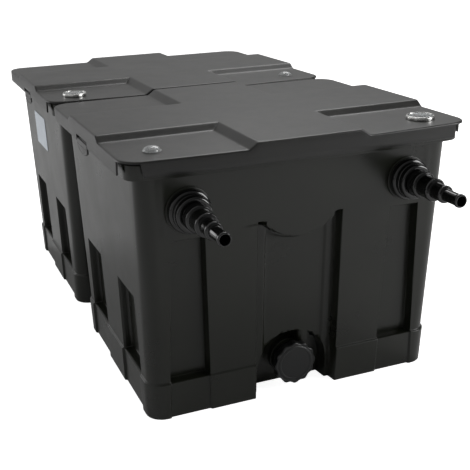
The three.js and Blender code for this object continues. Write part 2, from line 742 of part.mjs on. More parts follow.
function addChambers() {
  place(frontBox, 'front_support_grid', 'grid', gridSolid());
  place(rearBox, 'rear_support_grid', 'grid', gridSolid());
  const foams = ['coarse_foam', 'medium_foam', 'fine_foam'];
  foams.forEach((name, i) => {
    const z0 = GRID.z1 + FIT + i * (PAD.height + FIT);
    place(frontBox, name, name, padSolid(z0, PAD.height));
  });
  place(rearBox, 'media_basket', 'grid', basketSolid());
  const { halfX, y0, y1, wall } = BASKET;
  const clear = wall + 2;
  const floor = GRID.z1 + FIT + wall + FIT;
  const media = box(-halfX + clear, halfX - clear, y0 + clear, y1 - clear, floor, floor + 100);
  place(rearBox, 'bio_media', 'media', media);
  place(rearBox, 'polishing_pad', 'fine_foam', padSolid(GRID.z1 + 2 * FIT + BASKET.height, 25));
}

// A blank rating label on the left wall of the rear box --------------------------------------

function addLabel() {
  const label = { length: 117, height: 74, y: 278.5, z: 340, thick: 0.6 };
  const wallX = LID_WIDTH / 2 - BODY_INSET_X + TAPER_X * label.z;
  const half = label.thick / 2;
  const plate = box(-half, half, -label.length / 2, label.length / 2, -label.height / 2, label.height / 2);
  const mesh = place(rearBox, 'rating_label', 'label', plate);
  mesh.position.set(-wallX - half - FIT, label.y, label.z);
  mesh.rotation.y = -Math.atan(TAPER_X);
}

addTanks();
addLid(frontBox, 'front', 1);
addLid(rearBox, 'rear', -1);
addInlet('left', -INLET.x);
addInlet('right', INLET.x);
addDrain(frontBox, 'front', (solid) => solid);
addDrain(rearBox, 'rear', toRearWall);
addTransfers();
addOutlet();
addChambers();
addLabel();

export default filter;
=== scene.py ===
"""Looks for a two-chamber pond box filter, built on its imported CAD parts.

Shapes are grids of points worked out from two parameters with numpy, in millimetres.
A box's own frame has y = 0 at its lid's front edge; make() moves it into the row frame, in metres.
"""

import math

import bmesh
import bpy
import numpy as np
from mathutils import Matrix, Vector


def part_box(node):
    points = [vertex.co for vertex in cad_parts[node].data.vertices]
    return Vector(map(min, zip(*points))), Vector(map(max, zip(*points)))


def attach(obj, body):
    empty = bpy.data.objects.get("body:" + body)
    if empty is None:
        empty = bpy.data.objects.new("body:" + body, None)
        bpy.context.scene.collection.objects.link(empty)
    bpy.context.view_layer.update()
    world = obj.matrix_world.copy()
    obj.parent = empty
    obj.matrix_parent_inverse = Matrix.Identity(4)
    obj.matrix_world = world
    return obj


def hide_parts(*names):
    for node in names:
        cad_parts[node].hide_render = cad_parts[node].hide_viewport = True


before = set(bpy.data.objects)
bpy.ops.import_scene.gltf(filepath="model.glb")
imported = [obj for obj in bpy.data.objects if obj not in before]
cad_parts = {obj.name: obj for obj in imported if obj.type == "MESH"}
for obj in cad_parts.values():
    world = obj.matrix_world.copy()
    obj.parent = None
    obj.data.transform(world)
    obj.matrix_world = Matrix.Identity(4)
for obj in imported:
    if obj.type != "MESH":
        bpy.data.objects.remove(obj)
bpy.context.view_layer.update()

MM = 0.001

# Sizes, in millimetres --------------------------------------------------------------------

LID_DEPTH = 496
LID_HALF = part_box("front_lid")[1].x / MM
LID_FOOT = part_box("front_lid")[0].z / MM
LID_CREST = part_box("front_lid")[1].z / MM
LID_FACE = LID_CREST - 10        # sunk corner panels of the lid
LID_CORNER = 35
LID_BOW = 10                     # how far the front edge bows forward
EDGE = 3                         # rounding of the lid's upper edge
PLATE = 4
CROSS_HALF, CROSS_SLOPE, CROSS_Y = 90, 14, LID_DEPTH / 2 - 5
FRONT = {name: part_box(name + "_lid")[1].y / MM - LID_DEPTH for name in ("front", "rear")}

BODY_X, BODY_Y = LID_HALF - 38.6, LID_DEPTH / 2 - 46   # half sizes of a box at the ground
LEAN_X, LEAN_Y = 13.3 / 434, 26 / 434                  # outward lean of its walls
BODY_CORNER = 26
WALL = 4
PLINTH, PLINTH_PROUD = 66, 3.5
RIM_TOP = 446
INLET_X, INLET_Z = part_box("inlet_locknut_right")[0].x / MM + 35, 364
OUTLET_Z, DRAIN_Z = 364, 50
PIPE_X, PIPE_Z = 120, 110
GAUGE_X, GAUGE_Y = 237, 54


# Mesh making -------------------------------------------------------------------------------

def grid_quads(rows, columns, loop_rows=False, loop_columns=False):
    """Quads of a grid whose points are numbered row by row; a looped side joins its last to its first."""
    i, j = np.meshgrid(np.arange(rows if loop_rows else rows - 1),
                       np.arange(columns if loop_columns else columns - 1), indexing="ij")
    i2, j2 = (i + 1) % rows, (j + 1) % columns
    corners = [i * columns + j, i * columns + j2, i2 * columns + j2, i2 * columns + j]
    return np.stack(corners, -1).reshape(-1, 4)


def outward(points, faces):
    """Turns all faces round if the shell's volume, summed over fans, comes out negative."""
    a, b, c, d = (points[faces[:, k]] for k in range(4))
    volume = np.einsum("ij,ij->", a, np.cross(b, c) + np.cross(c, d))
    return faces if volume >= 0 else faces[:, ::-1]


def surface(points, loop_rows=False, loop_columns=False, shut=True):
    """A grid of points, rows x columns x 3, as (points, quads) with its faces outwards."""
    rows, columns = points.shape[:2]
    flat = points.reshape(-1, 3)
    faces = grid_quads(rows, columns, loop_rows, loop_columns)
    return flat, outward(flat, faces) if shut else faces


def make(name, parts, body, finish, front=0.0, sharp=38, weld=False, extra=False):
    """Joins (points, quads) parts into one mesh object, in metres, and rides it on its body.

    It replaces the CAD node of its own name, unless it is an extra with no node.
    """
    points = np.concatenate([p for p, _ in parts]) + (0.0, front, 0.0)
    starts = np.cumsum([0] + [len(p) for p, _ in parts[:-1]])
    faces = np.concatenate([f + s for (_, f), s in zip(parts, starts)])
    mesh = bpy.data.meshes.new(name)
    mesh.from_pydata((points * MM).tolist(), [], faces.tolist())
    if weld:
        whole = bmesh.new()
        whole.from_mesh(mesh)
        bmesh.ops.remove_doubles(whole, verts=whole.verts, dist=2e-6)
        bmesh.ops.dissolve_degenerate(whole, edges=whole.edges, dist=1e-6)
        whole.to_mesh(mesh)
        whole.free()
    mesh.polygons.foreach_set("use_smooth", np.ones(len(mesh.polygons), bool))
    mesh.set_sharp_from_angle(angle=math.radians(sharp))
    mesh.materials.append(finish)
    piece = bpy.data.objects.new(name, mesh)
    bpy.context.scene.collection.objects.link(piece)
    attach(piece, body)
    if not extra:
        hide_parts(name)
    return piece


def ease(t):
    """Goes smoothly from 0 to 1 as t does: t squared times (3 - 2t)."""
    t = np.clip(t, 0, 1)
    return t * t * (3 - 2 * t)


def step(inside, width=3.2):
    """0 outside an edge and 1 inside it, eased over width; inside is the distance in from the edge."""
    return ease(inside / width + 0.5)


def rounded(corners, steps=4, closed=True):
    """A path of (a, b, radius) corners with each corner replaced by a quadratic curve of that reach."""
    path = np.array(corners, float)
    before, after = np.roll(path, 1, 0), np.roll(path, -1, 0)
    out = []
    t = np.linspace(0, 1, steps + 1)[:, None]
    for k, (p, q, r) in enumerate(zip(before[:, :2], path, after[:, :2])):
        here, reach = q[:2], q[2]
        end = not closed and k in (0, len(path) - 1)
        if reach <= 0 or end:
            out.append(here[None])
            continue
        back, on = p - here, r - here
        a = here + back * min(reach / np.linalg.norm(back), 0.49)
        b = here + on * min(reach / np.linalg.norm(on), 0.49)
        out.append((1 - t) ** 2 * a + 2 * t * (1 - t) * here + t ** 2 * b)
    return np.concatenate(out)


def turned(corners, x, y, z, axis="y", facing=1, sides=72, steps=4, closed=True, lobes=None):
    """A closed outline of (radius, height, rounding) corners turned about an axis through x, y, z.

    Point = centre + radius (cos t, sin t) across the axis + height along it; lobes scales the radius with t.
    """
    outline = rounded(corners, steps, closed)
    t = np.linspace(0, 2 * math.pi, sides, endpoint=False)
    r = outline[:, :1] * np.ones(sides)
    if lobes:
        r = lobes(r, outline[:, 1:], t)
    h = outline[:, 1:] * np.ones(sides) * facing
    u, v = r * np.cos(t), r * np.sin(t)
    grid = np.stack([x + u, y + h, z + v] if axis == "y" else [x + u, y + v, z + h], -1)
    return surface(grid, loop_rows=closed, loop_columns=True)


def plan(half, y0, y1, radius, bow=0.0, front=28, arc=10, side=12):
    """A rounded oblong seen from above, anticlockwise from its front left, with a bowed front edge."""
    t = np.linspace(0, 1, front + 1)[:-1]
    reach = half - radius
    edge = np.stack([-reach + 2 * reach * t, y0 - 4 * bow * t * (1 - t)], -1)
    a = np.linspace(0, math.pi / 2, arc + 1)[:-1]

    def corner(cx, cy, start):
        return np.stack([cx + radius * np.cos(start + a), cy + radius * np.sin(start + a)], -1)

    def straight(p, q, n):
        s = np.linspace(0, 1, n + 1)[:-1, None]
        return np.array(p) + (np.array(q) - np.array(p)) * s

    return np.concatenate([
        edge,
        corner(reach, y0 + radius, -math.pi / 2),
        straight((half, y0 + radius), (half, y1 - radius), side),
        corner(reach, y1 - radius, 0),
        straight((reach, y1), (-reach, y1), front),
        corner(-reach, y1 - radius, math.pi / 2),
        straight((-half, y1 - radius), (-half, y0 + radius), side),
        corner(-reach, y0 + radius, math.pi),
    ])


def lid_plan(inset, **counts):
    """The lid's outline, drawn in by inset."""
    return plan(LID_HALF - inset, inset, LID_DEPTH - inset, LID_CORNER - inset, LID_BOW, **counts)


def loft(loops):
    """Loops of (outline, height) joined in order and back to the first, as a closed ring."""
    grid = np.stack([np.column_stack([o, np.full(len(o), z)]) for o, z in loops])
    return surface(grid, loop_rows=True, loop_columns=True)


def slab(outline, sections):
    """A solid plate: outline(inset) carried through (inset, height) sections, shut by fans at both ends."""
    loops = []
    for inset, z in sections:
        o = outline(inset)
        loops.append(np.column_stack([o, np.full(len(o), z)]))
    first, last = loops[0], loops[-1]
    centre = first.mean(0)
    shrink = [centre + (first - centre) * k for k in (0.0, 0.35, 0.7)]
    top = last.mean(0)
    grow = [top + (last - top) * k for k in (0.7, 0.35, 0.0)]
    return surface(np.stack(shrink + loops + grow), loop_columns=True)


def lines(*spans):
    """Sorted positions from (start, end, spacing) spans."""
    parts = [np.linspace(a, b, max(2, int(round((b - a) / gap)) + 1)) for a, b, gap in spans]
    return np.unique(np.round(np.concatenate(parts), 3))


def around(edge, reach=(-3, -1.9, -1.1, -0.4, 0.4, 1.1, 1.9, 3)):
    """Grid lines gathered on both sides of an edge."""
    return edge + np.array(reach)


# Materials ---------------------------------------------------------------------------------

def colour(code):
    """An sRGB hex code as the linear colour that a shader wants."""
    s = np.array([int(code[k:k + 2], 16) for k in (0, 2, 4)]) / 255
    low, high = s / 12.92, ((s + 0.055) / 1.055) ** 2.4
    return (*np.where(s <= 0.04045, low, high), 1.0)


def add(tree, kind, inputs=None, **settings):
    """Adds a shader node, sets its properties, and sets or links each named input."""
    made = tree.nodes.new("ShaderNode" + kind)
    for key, value in settings.items():
        setattr(made, key, value)
    for key, value in (inputs or {}).items():
        socket = made.inputs[key]
        if isinstance(value, bpy.types.NodeSocket):
            tree.links.new(value, socket)
        else:
            socket.default_value = value
    return made


def plain_finish(made, tree, output, inputs):
    """Ends a material in one Principled shader with the given inputs."""
    shader = add(tree, "BsdfPrincipled", inputs)
    tree.links.new(shader.outputs[0], output.inputs["Surface"])
    return made


def new_material(name):
    """An empty node material with its output and a reader of Object coordinates."""
    made = bpy.data.materials.new(name)
    made.use_nodes = True
    made.node_tree.nodes.clear()
    output = add(made.node_tree, "OutputMaterial")
    place = add(made.node_tree, "TexCoord").outputs["Object"]
    return made, made.node_tree, output, place


def ramp(tree, value, stops):
    """A colour ramp through (position, colour) stops."""
    made = add(tree, "ValToRGB", {"Fac": value})
    elements = made.color_ramp.elements
    while len(elements) < len(stops):
        elements.new(0.5)
    for element, (position, shade) in zip(elements, stops):
        element.position, element.color = position, shade
    return made.outputs["Color"]


def moulded(name, base, mottled, roughness, grain=1.4, depth=0.06, flow=90, gloss_range=0.08,
            dust=0.0, coat=0.0, coat_roughness=0.1, specular=0.5):
    """Injection-moulded plastic: faint flow marks in the colour, a fine spark grain in the bump.

    grain is the spark texture's spacing and flow the flow marks' size, in millimetres.
    """
    made, tree, output, place = new_material(name)
    flow_noise = add(tree, "TexNoise", {"Vector": place, "Scale": 1 / (flow * MM), "Detail": 3.0,
                                        "Roughness": 0.55}).outputs["Fac"]
    shade = ramp(tree, flow_noise, [(0.3, colour(base)), (0.75, colour(mottled))])
    fine = add(tree, "TexNoise", {"Vector": place, "Scale": 1 / (grain * MM), "Detail": 2.0,
                                  "Roughness": 0.6}).outputs["Fac"]
    if dust:
        up = add(tree, "SeparateXYZ", {0: add(tree, "NewGeometry").outputs["Normal"]}).outputs["Z"]
        settled = add(tree, "TexNoise", {"Vector": place, "Scale": 1 / (28 * MM), "Detail": 5.0,
                                         "Roughness": 0.7}).outputs["Fac"]
        amount = add(tree, "MapRange", {"Value": settled, "From Min": 0.35, "From Max": 0.8,
                                        "To Min": 0.0, "To Max": dust}).outputs["Result"]
        facing = add(tree, "MapRange", {"Value": up, "From Min": 0.3, "From Max": 1.0}).outputs["Result"]
        both = add(tree, "Math", {0: amount, 1: facing}, operation="MULTIPLY").outputs[0]
        shade = add(tree, "Mix", {"Factor": both, 6: shade, 7: colour("9a968c")},
                    data_type="RGBA").outputs[2]
    rough = add(tree, "MapRange", {"Value": flow_noise, "From Min": 0.25, "From Max": 0.8,
                                   "To Min": roughness - gloss_range / 2,
                                   "To Max": roughness + gloss_range / 2}).outputs["Result"]
    bump = add(tree, "Bump", {"Height": fine, "Strength": 0.5, "Distance": depth * MM})
    return plain_finish(made, tree, output, {"Base Color": shade, "Roughness": rough,
                                             "Normal": bump.outputs["Normal"], "IOR": 1.5,
                                             "Specular IOR Level": specular, "Coat Weight": coat,
                                             "Coat Roughness": coat_roughness})


def metal(name, base, scratched, roughness, stretch=(1, 1, 40), scale=2.0, metallic=1.0):
    """Drawn or metallised metal: fine streaks along one direction in roughness and bump."""
    made, tree, output, place = new_material(name)
    long = add(tree, "Mapping", {"Vector": place, "Scale": stretch}).outputs["Vector"]
    streak = add(tree, "TexNoise", {"Vector": long, "Scale": 1 / (scale * MM), "Detail": 3.0}).outputs["Fac"]
    shade = ramp(tree, streak, [(0.35, colour(base)), (0.7, colour(scratched))])
    rough = add(tree, "MapRange", {"Value": streak, "To Min": roughness - 0.06,
                                   "To Max": roughness + 0.1}).outputs["Result"]
    bump = add(tree, "Bump", {"Height": streak, "Strength": 0.25, "Distance": 0.02 * MM})
    return plain_finish(made, tree, output, {"Base Color": shade, "Metallic": metallic, "Roughness": rough,
                                             "Normal": bump.outputs["Normal"]})


def rubber(name, base="141414"):
    """Compression-moulded EPDM rubber: dull, with a faint bloom and a dusty cast."""
    made, tree, output, place = new_material(name)
    bloom = add(tree, "TexNoise", {"Vector": place, "Scale": 1 / (9 * MM), "Detail": 5.0}).outputs["Fac"]
    shade = ramp(tree, bloom, [(0.35, colour(base)), (0.8, colour("2a2928"))])
    bump = add(tree, "Bump", {"Height": bloom, "Strength": 0.3, "Distance": 0.1 * MM})
    return plain_finish(made, tree, output, {"Base Color": shade, "Roughness": 0.82, "IOR": 1.52,
                                             "Sheen Weight": 0.15, "Sheen Roughness": 0.5,
                                             "Normal": bump.outputs["Normal"]})


def clear_plastic(name, tint, roughness=0.04, transmission=0.9):
    """Clear moulded acrylic: glassy, with faint ripples left by the mould."""
    made, tree, output, place = new_material(name)
    ripple = add(tree, "TexNoise", {"Vector": place, "Scale": 1 / (12 * MM), "Detail": 2.0}).outputs["Fac"]
    rough = add(tree, "MapRange", {"Value": ripple, "To Min": roughness,
                                   "To Max": roughness + 0.08}).outputs["Result"]
    bump = add(tree, "Bump", {"Height": ripple, "Strength": 0.15, "Distance": 0.2 * MM})
    return plain_finish(made, tree, output, {"Base Color": colour(tint), "Roughness": rough, "IOR": 1.49,
                                             "Transmission Weight": transmission,
                                             "Normal": bump.outputs["Normal"]})


def open_cell(name, bright, painted_hollow_shade, cell):
    """Reticulated polyurethane foam: round open cells between thin ribs, with painted shade in each cell
    hollow, where the foam's colour darkens to a shaded copy of itself.
    """
    made, tree, output, place = new_material(name)
    cells = add(tree, "TexVoronoi", {"Vector": place, "Scale": 1 / (cell * MM), "Randomness": 0.9})
    # painted shade: each cell hollow gets a darker copy of the foam's colour and the ribs keep the foam's own
    # colour; the same mask also drives the bump
    hollow_and_painted_shade = ramp(tree, cells.outputs["Distance"], [(0.25, (0, 0, 0, 1)), (0.55, (1, 1, 1, 1))])
    stain = add(tree, "TexNoise", {"Vector": place, "Scale": 1 / (70 * MM), "Detail": 4.0}).outputs["Fac"]
    mixed = add(tree, "Mix", {"Factor": hollow_and_painted_shade, 6: colour(painted_hollow_shade), 7: colour(bright)},
                data_type="RGBA").outputs[2]
    shade = add(tree, "Mix", {"Factor": ramp(tree, stain, [(0.5, (0, 0, 0, 1)), (0.85, (0.35,) * 3 + (1,))]),
                              6: mixed, 7: colour("5a5140")}, data_type="RGBA").outputs[2]
    bump = add(tree, "Bump", {"Height": hollow_and_painted_shade, "Strength": 0.9, "Distance": cell * 0.4 * MM})
    return plain_finish(made, tree, output, {"Base Color": shade, "Roughness": 0.95, "Sheen Weight": 0.25,
                                             "Sheen Roughness": 0.6, "Normal": bump.outputs["Normal"]})


def net_bag(name):
    """Knitted nylon net over dark ribbed media: pale threads 4 mm apart over the media, with painted shade
    darkening the hollows between its lumps.
    """
    made, tree, output, place = new_material(name)
    weave = [add(tree, "TexWave", {"Vector": place, "Scale": 1 / (24 * MM), "Distortion": 1.5,
                                   "Detail": 1.0, "Detail Scale": 0.5},
                 wave_type="BANDS", bands_direction=way).outputs["Fac"] for way in ("X", "Y")]
    both = add(tree, "Math", {0: weave[0], 1: weave[1]}, operation="MAXIMUM").outputs[0]
    thread = ramp(tree, both, [(0.8, (0, 0, 0, 1)), (0.92, (1, 1, 1, 1))])
    # painted shade: the media is grey at the middle of each lump and near black in the hollows between lumps
    lump_shade_mask = add(tree, "TexVoronoi", {"Vector": place, "Scale": 1 / (26 * MM)}).outputs["Distance"]
    media = ramp(tree, lump_shade_mask, [(0.1, colour("3f4a52")), (0.8, colour("101315"))])
    shade = add(tree, "Mix", {"Factor": thread, 6: media, 7: colour("8b9298")}, data_type="RGBA").outputs[2]
    bump = add(tree, "Bump", {"Height": thread, "Strength": 0.6, "Distance": 0.5 * MM})
    return plain_finish(made, tree, output, {"Base Color": shade, "Roughness": 0.7,
                                             "Normal": bump.outputs["Normal"]})


def printed_film(name, base, edge):
    """Blank polyester label film: flat pale ink with faint rub marks under a thin gloss."""
    made, tree, output, place = new_material(name)
    rub = add(tree, "TexNoise", {"Vector": place, "Scale": 1 / (16 * MM), "Detail": 6.0}).outputs["Fac"]
    shade = ramp(tree, rub, [(0.35, colour(base)), (0.85, colour(edge))])
    bump = add(tree, "Bump", {"Height": rub, "Strength": 0.1, "Distance": 0.05 * MM})
    return plain_finish(made, tree, output, {"Base Color": shade, "Roughness": 0.35, "Coat Weight": 0.3,
                                             "Coat Roughness": 0.15, "Normal": bump.outputs["Normal"]})


def dial_card(name):
    """Printed dial card: pale enamel with a faint mottling, read under the lens."""
    made, tree, output, place = new_material(name)
    mottle = add(tree, "TexNoise", {"Vector": place, "Scale": 1 / (5 * MM), "Detail": 3.0}).outputs["Fac"]
    shade = ramp(tree, mottle, [(0.3, colour("b9bab6")), (0.8, colour("dededa"))])
    return plain_finish(made, tree, output, {"Base Color": shade, "Roughness": 0.4})


TANK = moulded("moulded_polyethylene_tank", "0e1009", "15170f", 0.3, grain=1.1, depth=0.02)
LID = moulded("moulded_abs_lid", "161615", "1e1e1c", 0.36, grain=1.0, depth=0.02, flow=120, dust=0.08)
CLIP = moulded("moulded_nylon_clip", "161615", "1c1c1b", 0.36, grain=0.8, depth=0.02)
FITTING = moulded("polished_pvc_fitting", "060606", "0b0b0b", 0.14, grain=2.5, depth=0.01, gloss_range=0.06,
                  coat=0.3, coat_roughness=0.06)
CAP = moulded("satin_polypropylene_cap", "111212", "171818", 0.34, grain=0.9, depth=0.02)
GRID = moulded("moulded_hdpe_grid", "1e2022", "26292b", 0.45)
RUBBER = rubber("epdm_rubber")
SILVER = metal("metallised_plastic_bezel", "c9c9c7", "efefec", 0.24, stretch=(1, 1, 1), scale=6)
STEEL = metal("drawn_stainless_pin", "a9abad", "c8cacc", 0.28, stretch=(30, 1, 30), scale=3)
LENS = clear_plastic("clear_acrylic_lens", "eef2f3")
DOME = clear_plastic("clear_acrylic_dome", "f4f6f6", 0.05, 0.75)
NEEDLE = moulded("painted_red_needle", "b8241b", "c93026", 0.35, grain=0.5, depth=0.01, coat=0.3)
FLOAT = moulded("red_polypropylene_float", "c4301f", "d23a27", 0.3, grain=0.6, depth=0.01)
DIAL = dial_card("printed_dial_card")
INK = moulded("black_dial_ink", "101010", "181818", 0.5, grain=0.3, depth=0.01)
# the second colour of each foam is painted shade for its cell hollows
FOAMS = {
    "coarse_foam": open_cell("coarse_reticulated_foam", "3468a8", "0c1d33", 5.0),
    "medium_foam": open_cell("medium_reticulated_foam", "b8443a", "3a100c", 3.4),
    "fine_foam": open_cell("fine_reticulated_foam", "38875a", "0d2c1a", 2.4),
}
MEDIA = net_bag("nylon_net_over_media")
FILM = printed_film("blank_label_film", "d3dde8", "c2cdd8")


# Tanks -------------------------------------------------------------------------------------

END_RECESS = {"centre": 194, "top": 314, "narrow": 26.5, "wide": 35.5}
SIDE_RECESS = {"centre": 105, "top": 204, "narrow": 47, "wide": 54}
PANEL_HALF, PANEL_TOP, PANEL_DEPTH = 75, 324, 17
CHANNEL_HALF, CHANNEL_DEPTH = 55, 20
ARCH_RADIUS, ARCH_Z, ARCH_DEPTH = 65, 40, 44
ARCH_SIDE = 74.6                 # where the arch meets the channel's edge
BULGE_REACH = 69                 # half width over which the bulge cuts the panel
LONG_END, SIDE_END = 240, 185    # nominal half lengths of the walls' grids
WEB = (12, 34)
BULGE_RADIUS, BULGE_Z = 87, 377
RECESS_DEPTH = 16


def recess_half(recess, z):
    """Half width of a recess, widening evenly from its top to the ground."""
    return recess["narrow"] + (recess["wide"] - recess["narrow"]) * (1 - z / recess["top"])


def relief(s, z, long_wall, web, grow):
    """How far a wall stands out of its plain leaning face, at s along it and height z.

    Each region is a signed distance in from its outline, eased into a step; later regions cover
    earlier ones. grow widens the outlines for the wall's inner face, which has no plinth.
    """
    out = PLINTH_PROUD * step(PLINTH - z) if grow == 0 else np.zeros_like(z)
    recess = END_RECESS if long_wall else SIDE_RECESS
    beside = recess_half(recess, z) + grow - np.abs(np.abs(s) - recess["centre"])
    sunk = step(np.minimum(beside, recess["top"] + grow - z))
    out = out * (1 - sunk) - RECESS_DEPTH * sunk * step(z - PLINTH + grow)
    if not long_wall:
        return out
    from_bulge = np.hypot(s, z - BULGE_Z) + grow
    panel = step(np.minimum.reduce([PANEL_HALF + grow - np.abs(s), PANEL_TOP + grow - z,
                                    from_bulge - BULGE_RADIUS]))
    out = out * (1 - panel) - PANEL_DEPTH * panel
    channel = panel * step(np.minimum(CHANNEL_HALF + grow - np.abs(s), from_bulge - BULGE_RADIUS - 6), 5)
    out = out * (1 - channel) - CHANNEL_DEPTH * channel
    within = ARCH_RADIUS + grow - np.where(z > ARCH_Z, np.hypot(s, z - ARCH_Z), np.abs(s))
    arch = step(within)
    floor = -ARCH_DEPTH * np.ones_like(z)
    if web:
        rib = step(np.minimum(s - WEB[0], WEB[1] - s), 2.4) * step(z - 70)
        floor = floor * (1 - rib) - CHANNEL_DEPTH * rib
    out = out * (1 - arch) + floor * arch
    if grow == 0:
        fin = np.exp(-((np.abs(s) - 234) / 1.3) ** 2) * step(z - 328, 6) * step(415 - z, 6)
        scar = np.exp(-((z - 321) / 1.0) ** 2) * step(np.minimum(-75 - s, s + 98), 4)
        out = out + 1.6 * fin + 0.8 * scar
    return out


def wall_columns(fine):
    """Grid lines along a long wall and along a side wall, gathered at the relief's edges."""
    reach = (-3, -1.9, -1.1, -0.4, 0.4, 1.1, 1.9, 3) if fine else (-3, 0, 3)
    gap = 5 if fine else 12
    half = [0] + list(np.arange(gap, 60, gap))
    long = [*half, *around(65, reach), *around(75, reach), *lines((80, 158, gap)), *around(163, reach),
            *lines((168, 220, gap)), *around(225, reach), 230, 234, 238]
    if fine:
        long += [10.8, 11.6, 12.4, 13.2, 32.8, 33.6, 34.4, 35.2, 232.4, 235.6]
    side = [*lines((0, 50, 12)), *around(55, reach), *lines((60, 150, 12)), *around(155, reach), 164, 176]
    both = [np.unique(np.round(np.abs(k), 3)) for k in (long, side)]
    return [np.concatenate([-k[:0:-1], k]) for k in both]


def spread(nominal, knots, real):
    """Moves nominal grid lines so that each knot lands on its real place, evenly in between.

    real has one array for each knot, with the grid's own lines along its last side.
    """
    knots, real = np.array(knots), np.stack(real)
    k = np.clip(np.searchsorted(knots, nominal, side="right") - 1, 0, len(knots) - 2)
    t = (nominal - knots[k]) / (knots[k + 1] - knots[k])
    line = np.arange(len(nominal))
    low, high = real[k, :, line].T, real[k + 1, :, line].T
    return low + (high - low) * t


def wall_grid(rows, columns, long_wall):
    """Positions along a wall and heights, rows x columns, drawn to the recesses, arch and bulge."""
    s0 = np.abs(columns)
    level = np.ones((len(columns), len(rows)))
    arch = ARCH_Z + np.sqrt(ARCH_RADIUS ** 2 - np.minimum(s0, CHANNEL_HALF) ** 2)[:, None]
    bulge = BULGE_Z - np.sqrt(BULGE_RADIUS ** 2 - np.minimum(s0, BULGE_REACH) ** 2)[:, None]
    if not long_wall:
        arch, bulge = ARCH_SIDE, PANEL_TOP
    knots = [0, PLINTH, ARCH_SIDE, SIDE_RECESS["top"], PANEL_TOP, RIM_TOP]
    real = [0, PLINTH, arch, SIDE_RECESS["top"], bulge, RIM_TOP]
    z = spread(rows, knots, [place * level for place in real]).T
    recess = END_RECESS if long_wall else SIDE_RECESS
    half = recess_half(recess, z)
    length = (BODY_X + LEAN_X * z if long_wall else BODY_Y + LEAN_Y * z) - BODY_CORNER
    c = recess["centre"]
    if long_wall:
        rise = np.maximum(z - ARCH_Z, 0)
        edge = np.maximum(np.sqrt(np.maximum(ARCH_RADIUS ** 2 - rise ** 2, 0)), CHANNEL_HALF)
        knots = [0, ARCH_RADIUS, PANEL_HALF, 163, 225, LONG_END]
        real = [0 * z, edge, PANEL_HALF + 0 * z, c - half, c + half, length]
    else:
        knots = [0, 55, 155, SIDE_END]
        real = [0 * z, c - half, c + half, length]
    return np.sign(columns) * spread(s0, knots, real), z


def tank_shell(rows, fine, webs, inset, grow, floor_z):
    """A tank's wall, floor first: four relief walls joined by quarter-round corners, row by row.

    Each wall point = plain leaning face + outward normal x (relief - inset).
    """
    long, side = wall_columns(fine)
    middle = LID_DEPTH / 2
    arcs = np.linspace(0, math.pi / 2, 9 if fine else 6)[1:-1]
    parts = []
    for turn in range(4):
        long_wall = turn % 2 == 0
        end = LONG_END if long_wall else SIDE_END
        nominal = np.concatenate([(-end,), long if long_wall else side, (end,)])
        s, z = wall_grid(rows, nominal, long_wall)
        out = relief(s, z, long_wall, webs[turn], grow) - inset
        a, b = (BODY_X + LEAN_X * z, BODY_Y + LEAN_Y * z) if long_wall else \
               (BODY_Y + LEAN_Y * z, BODY_X + LEAN_X * z)
        wall = np.stack([s, -(b + out), z], -1)
        z = rows[:, None] * np.ones(len(arcs))
        a, b = (BODY_X + LEAN_X * z, BODY_Y + LEAN_Y * z) if long_wall else \
               (BODY_Y + LEAN_Y * z, BODY_X + LEAN_X * z)
        r = BODY_CORNER - inset + (PLINTH_PROUD * step(PLINTH - z) if grow == 0 else 0)
        angle = arcs - math.pi / 2
        corner = np.stack([a - BODY_CORNER + r * np.cos(angle),
                           -(b - BODY_CORNER) + r * np.sin(angle), z], -1)
        both = np.concatenate([wall, corner], 1)
        x, y = both[..., 0].copy(), both[..., 1].copy()
        for _ in range(turn):
            x, y = -y, x
        parts.append(np.stack([x, y + middle, both[..., 2]], -1))
    grid = np.concatenate(parts, 1)
    foot = grid[0].copy()
    shrunk = foot - (0, middle, 0)
    limit = np.array([BODY_X - 70, BODY_Y - 70])
    clamp = np.column_stack([np.clip(shrunk[:, :2], -limit, limit), np.full(len(foot), floor_z)])
    bottom = [clamp * (k, k, 1) + (0, middle, 0) for k in (0.0, 0.5, 1.0)]
    return np.concatenate([np.stack(bottom), grid])


def holed(points, faces, holes):
    """Leaves out the faces that reach inside a round hole of (x, z, radius, which side of the box)."""
    keep = np.ones(len(faces), bool)
    for x, z, radius, rear in holes:
        near = np.hypot(points[:, 0] - x, points[:, 2] - z) < radius
        near &= (points[:, 1] > LID_DEPTH / 2) == rear
        near &= points[:, 2] > 1
        keep &= ~near[faces].any(1)
    return faces[keep]


def seat(x, z, hole, boss, outer, inner, rear):
    """The flat round seat around a fitting, as a ring through the wall."""
    return turned([(hole, outer, 0.4), (boss, outer, 1.2), (boss, inner, 1), (hole, inner, 0.4)],
                  x, LID_DEPTH if rear else 0, z, facing=-1 if rear else 1, sides=64, steps=3)


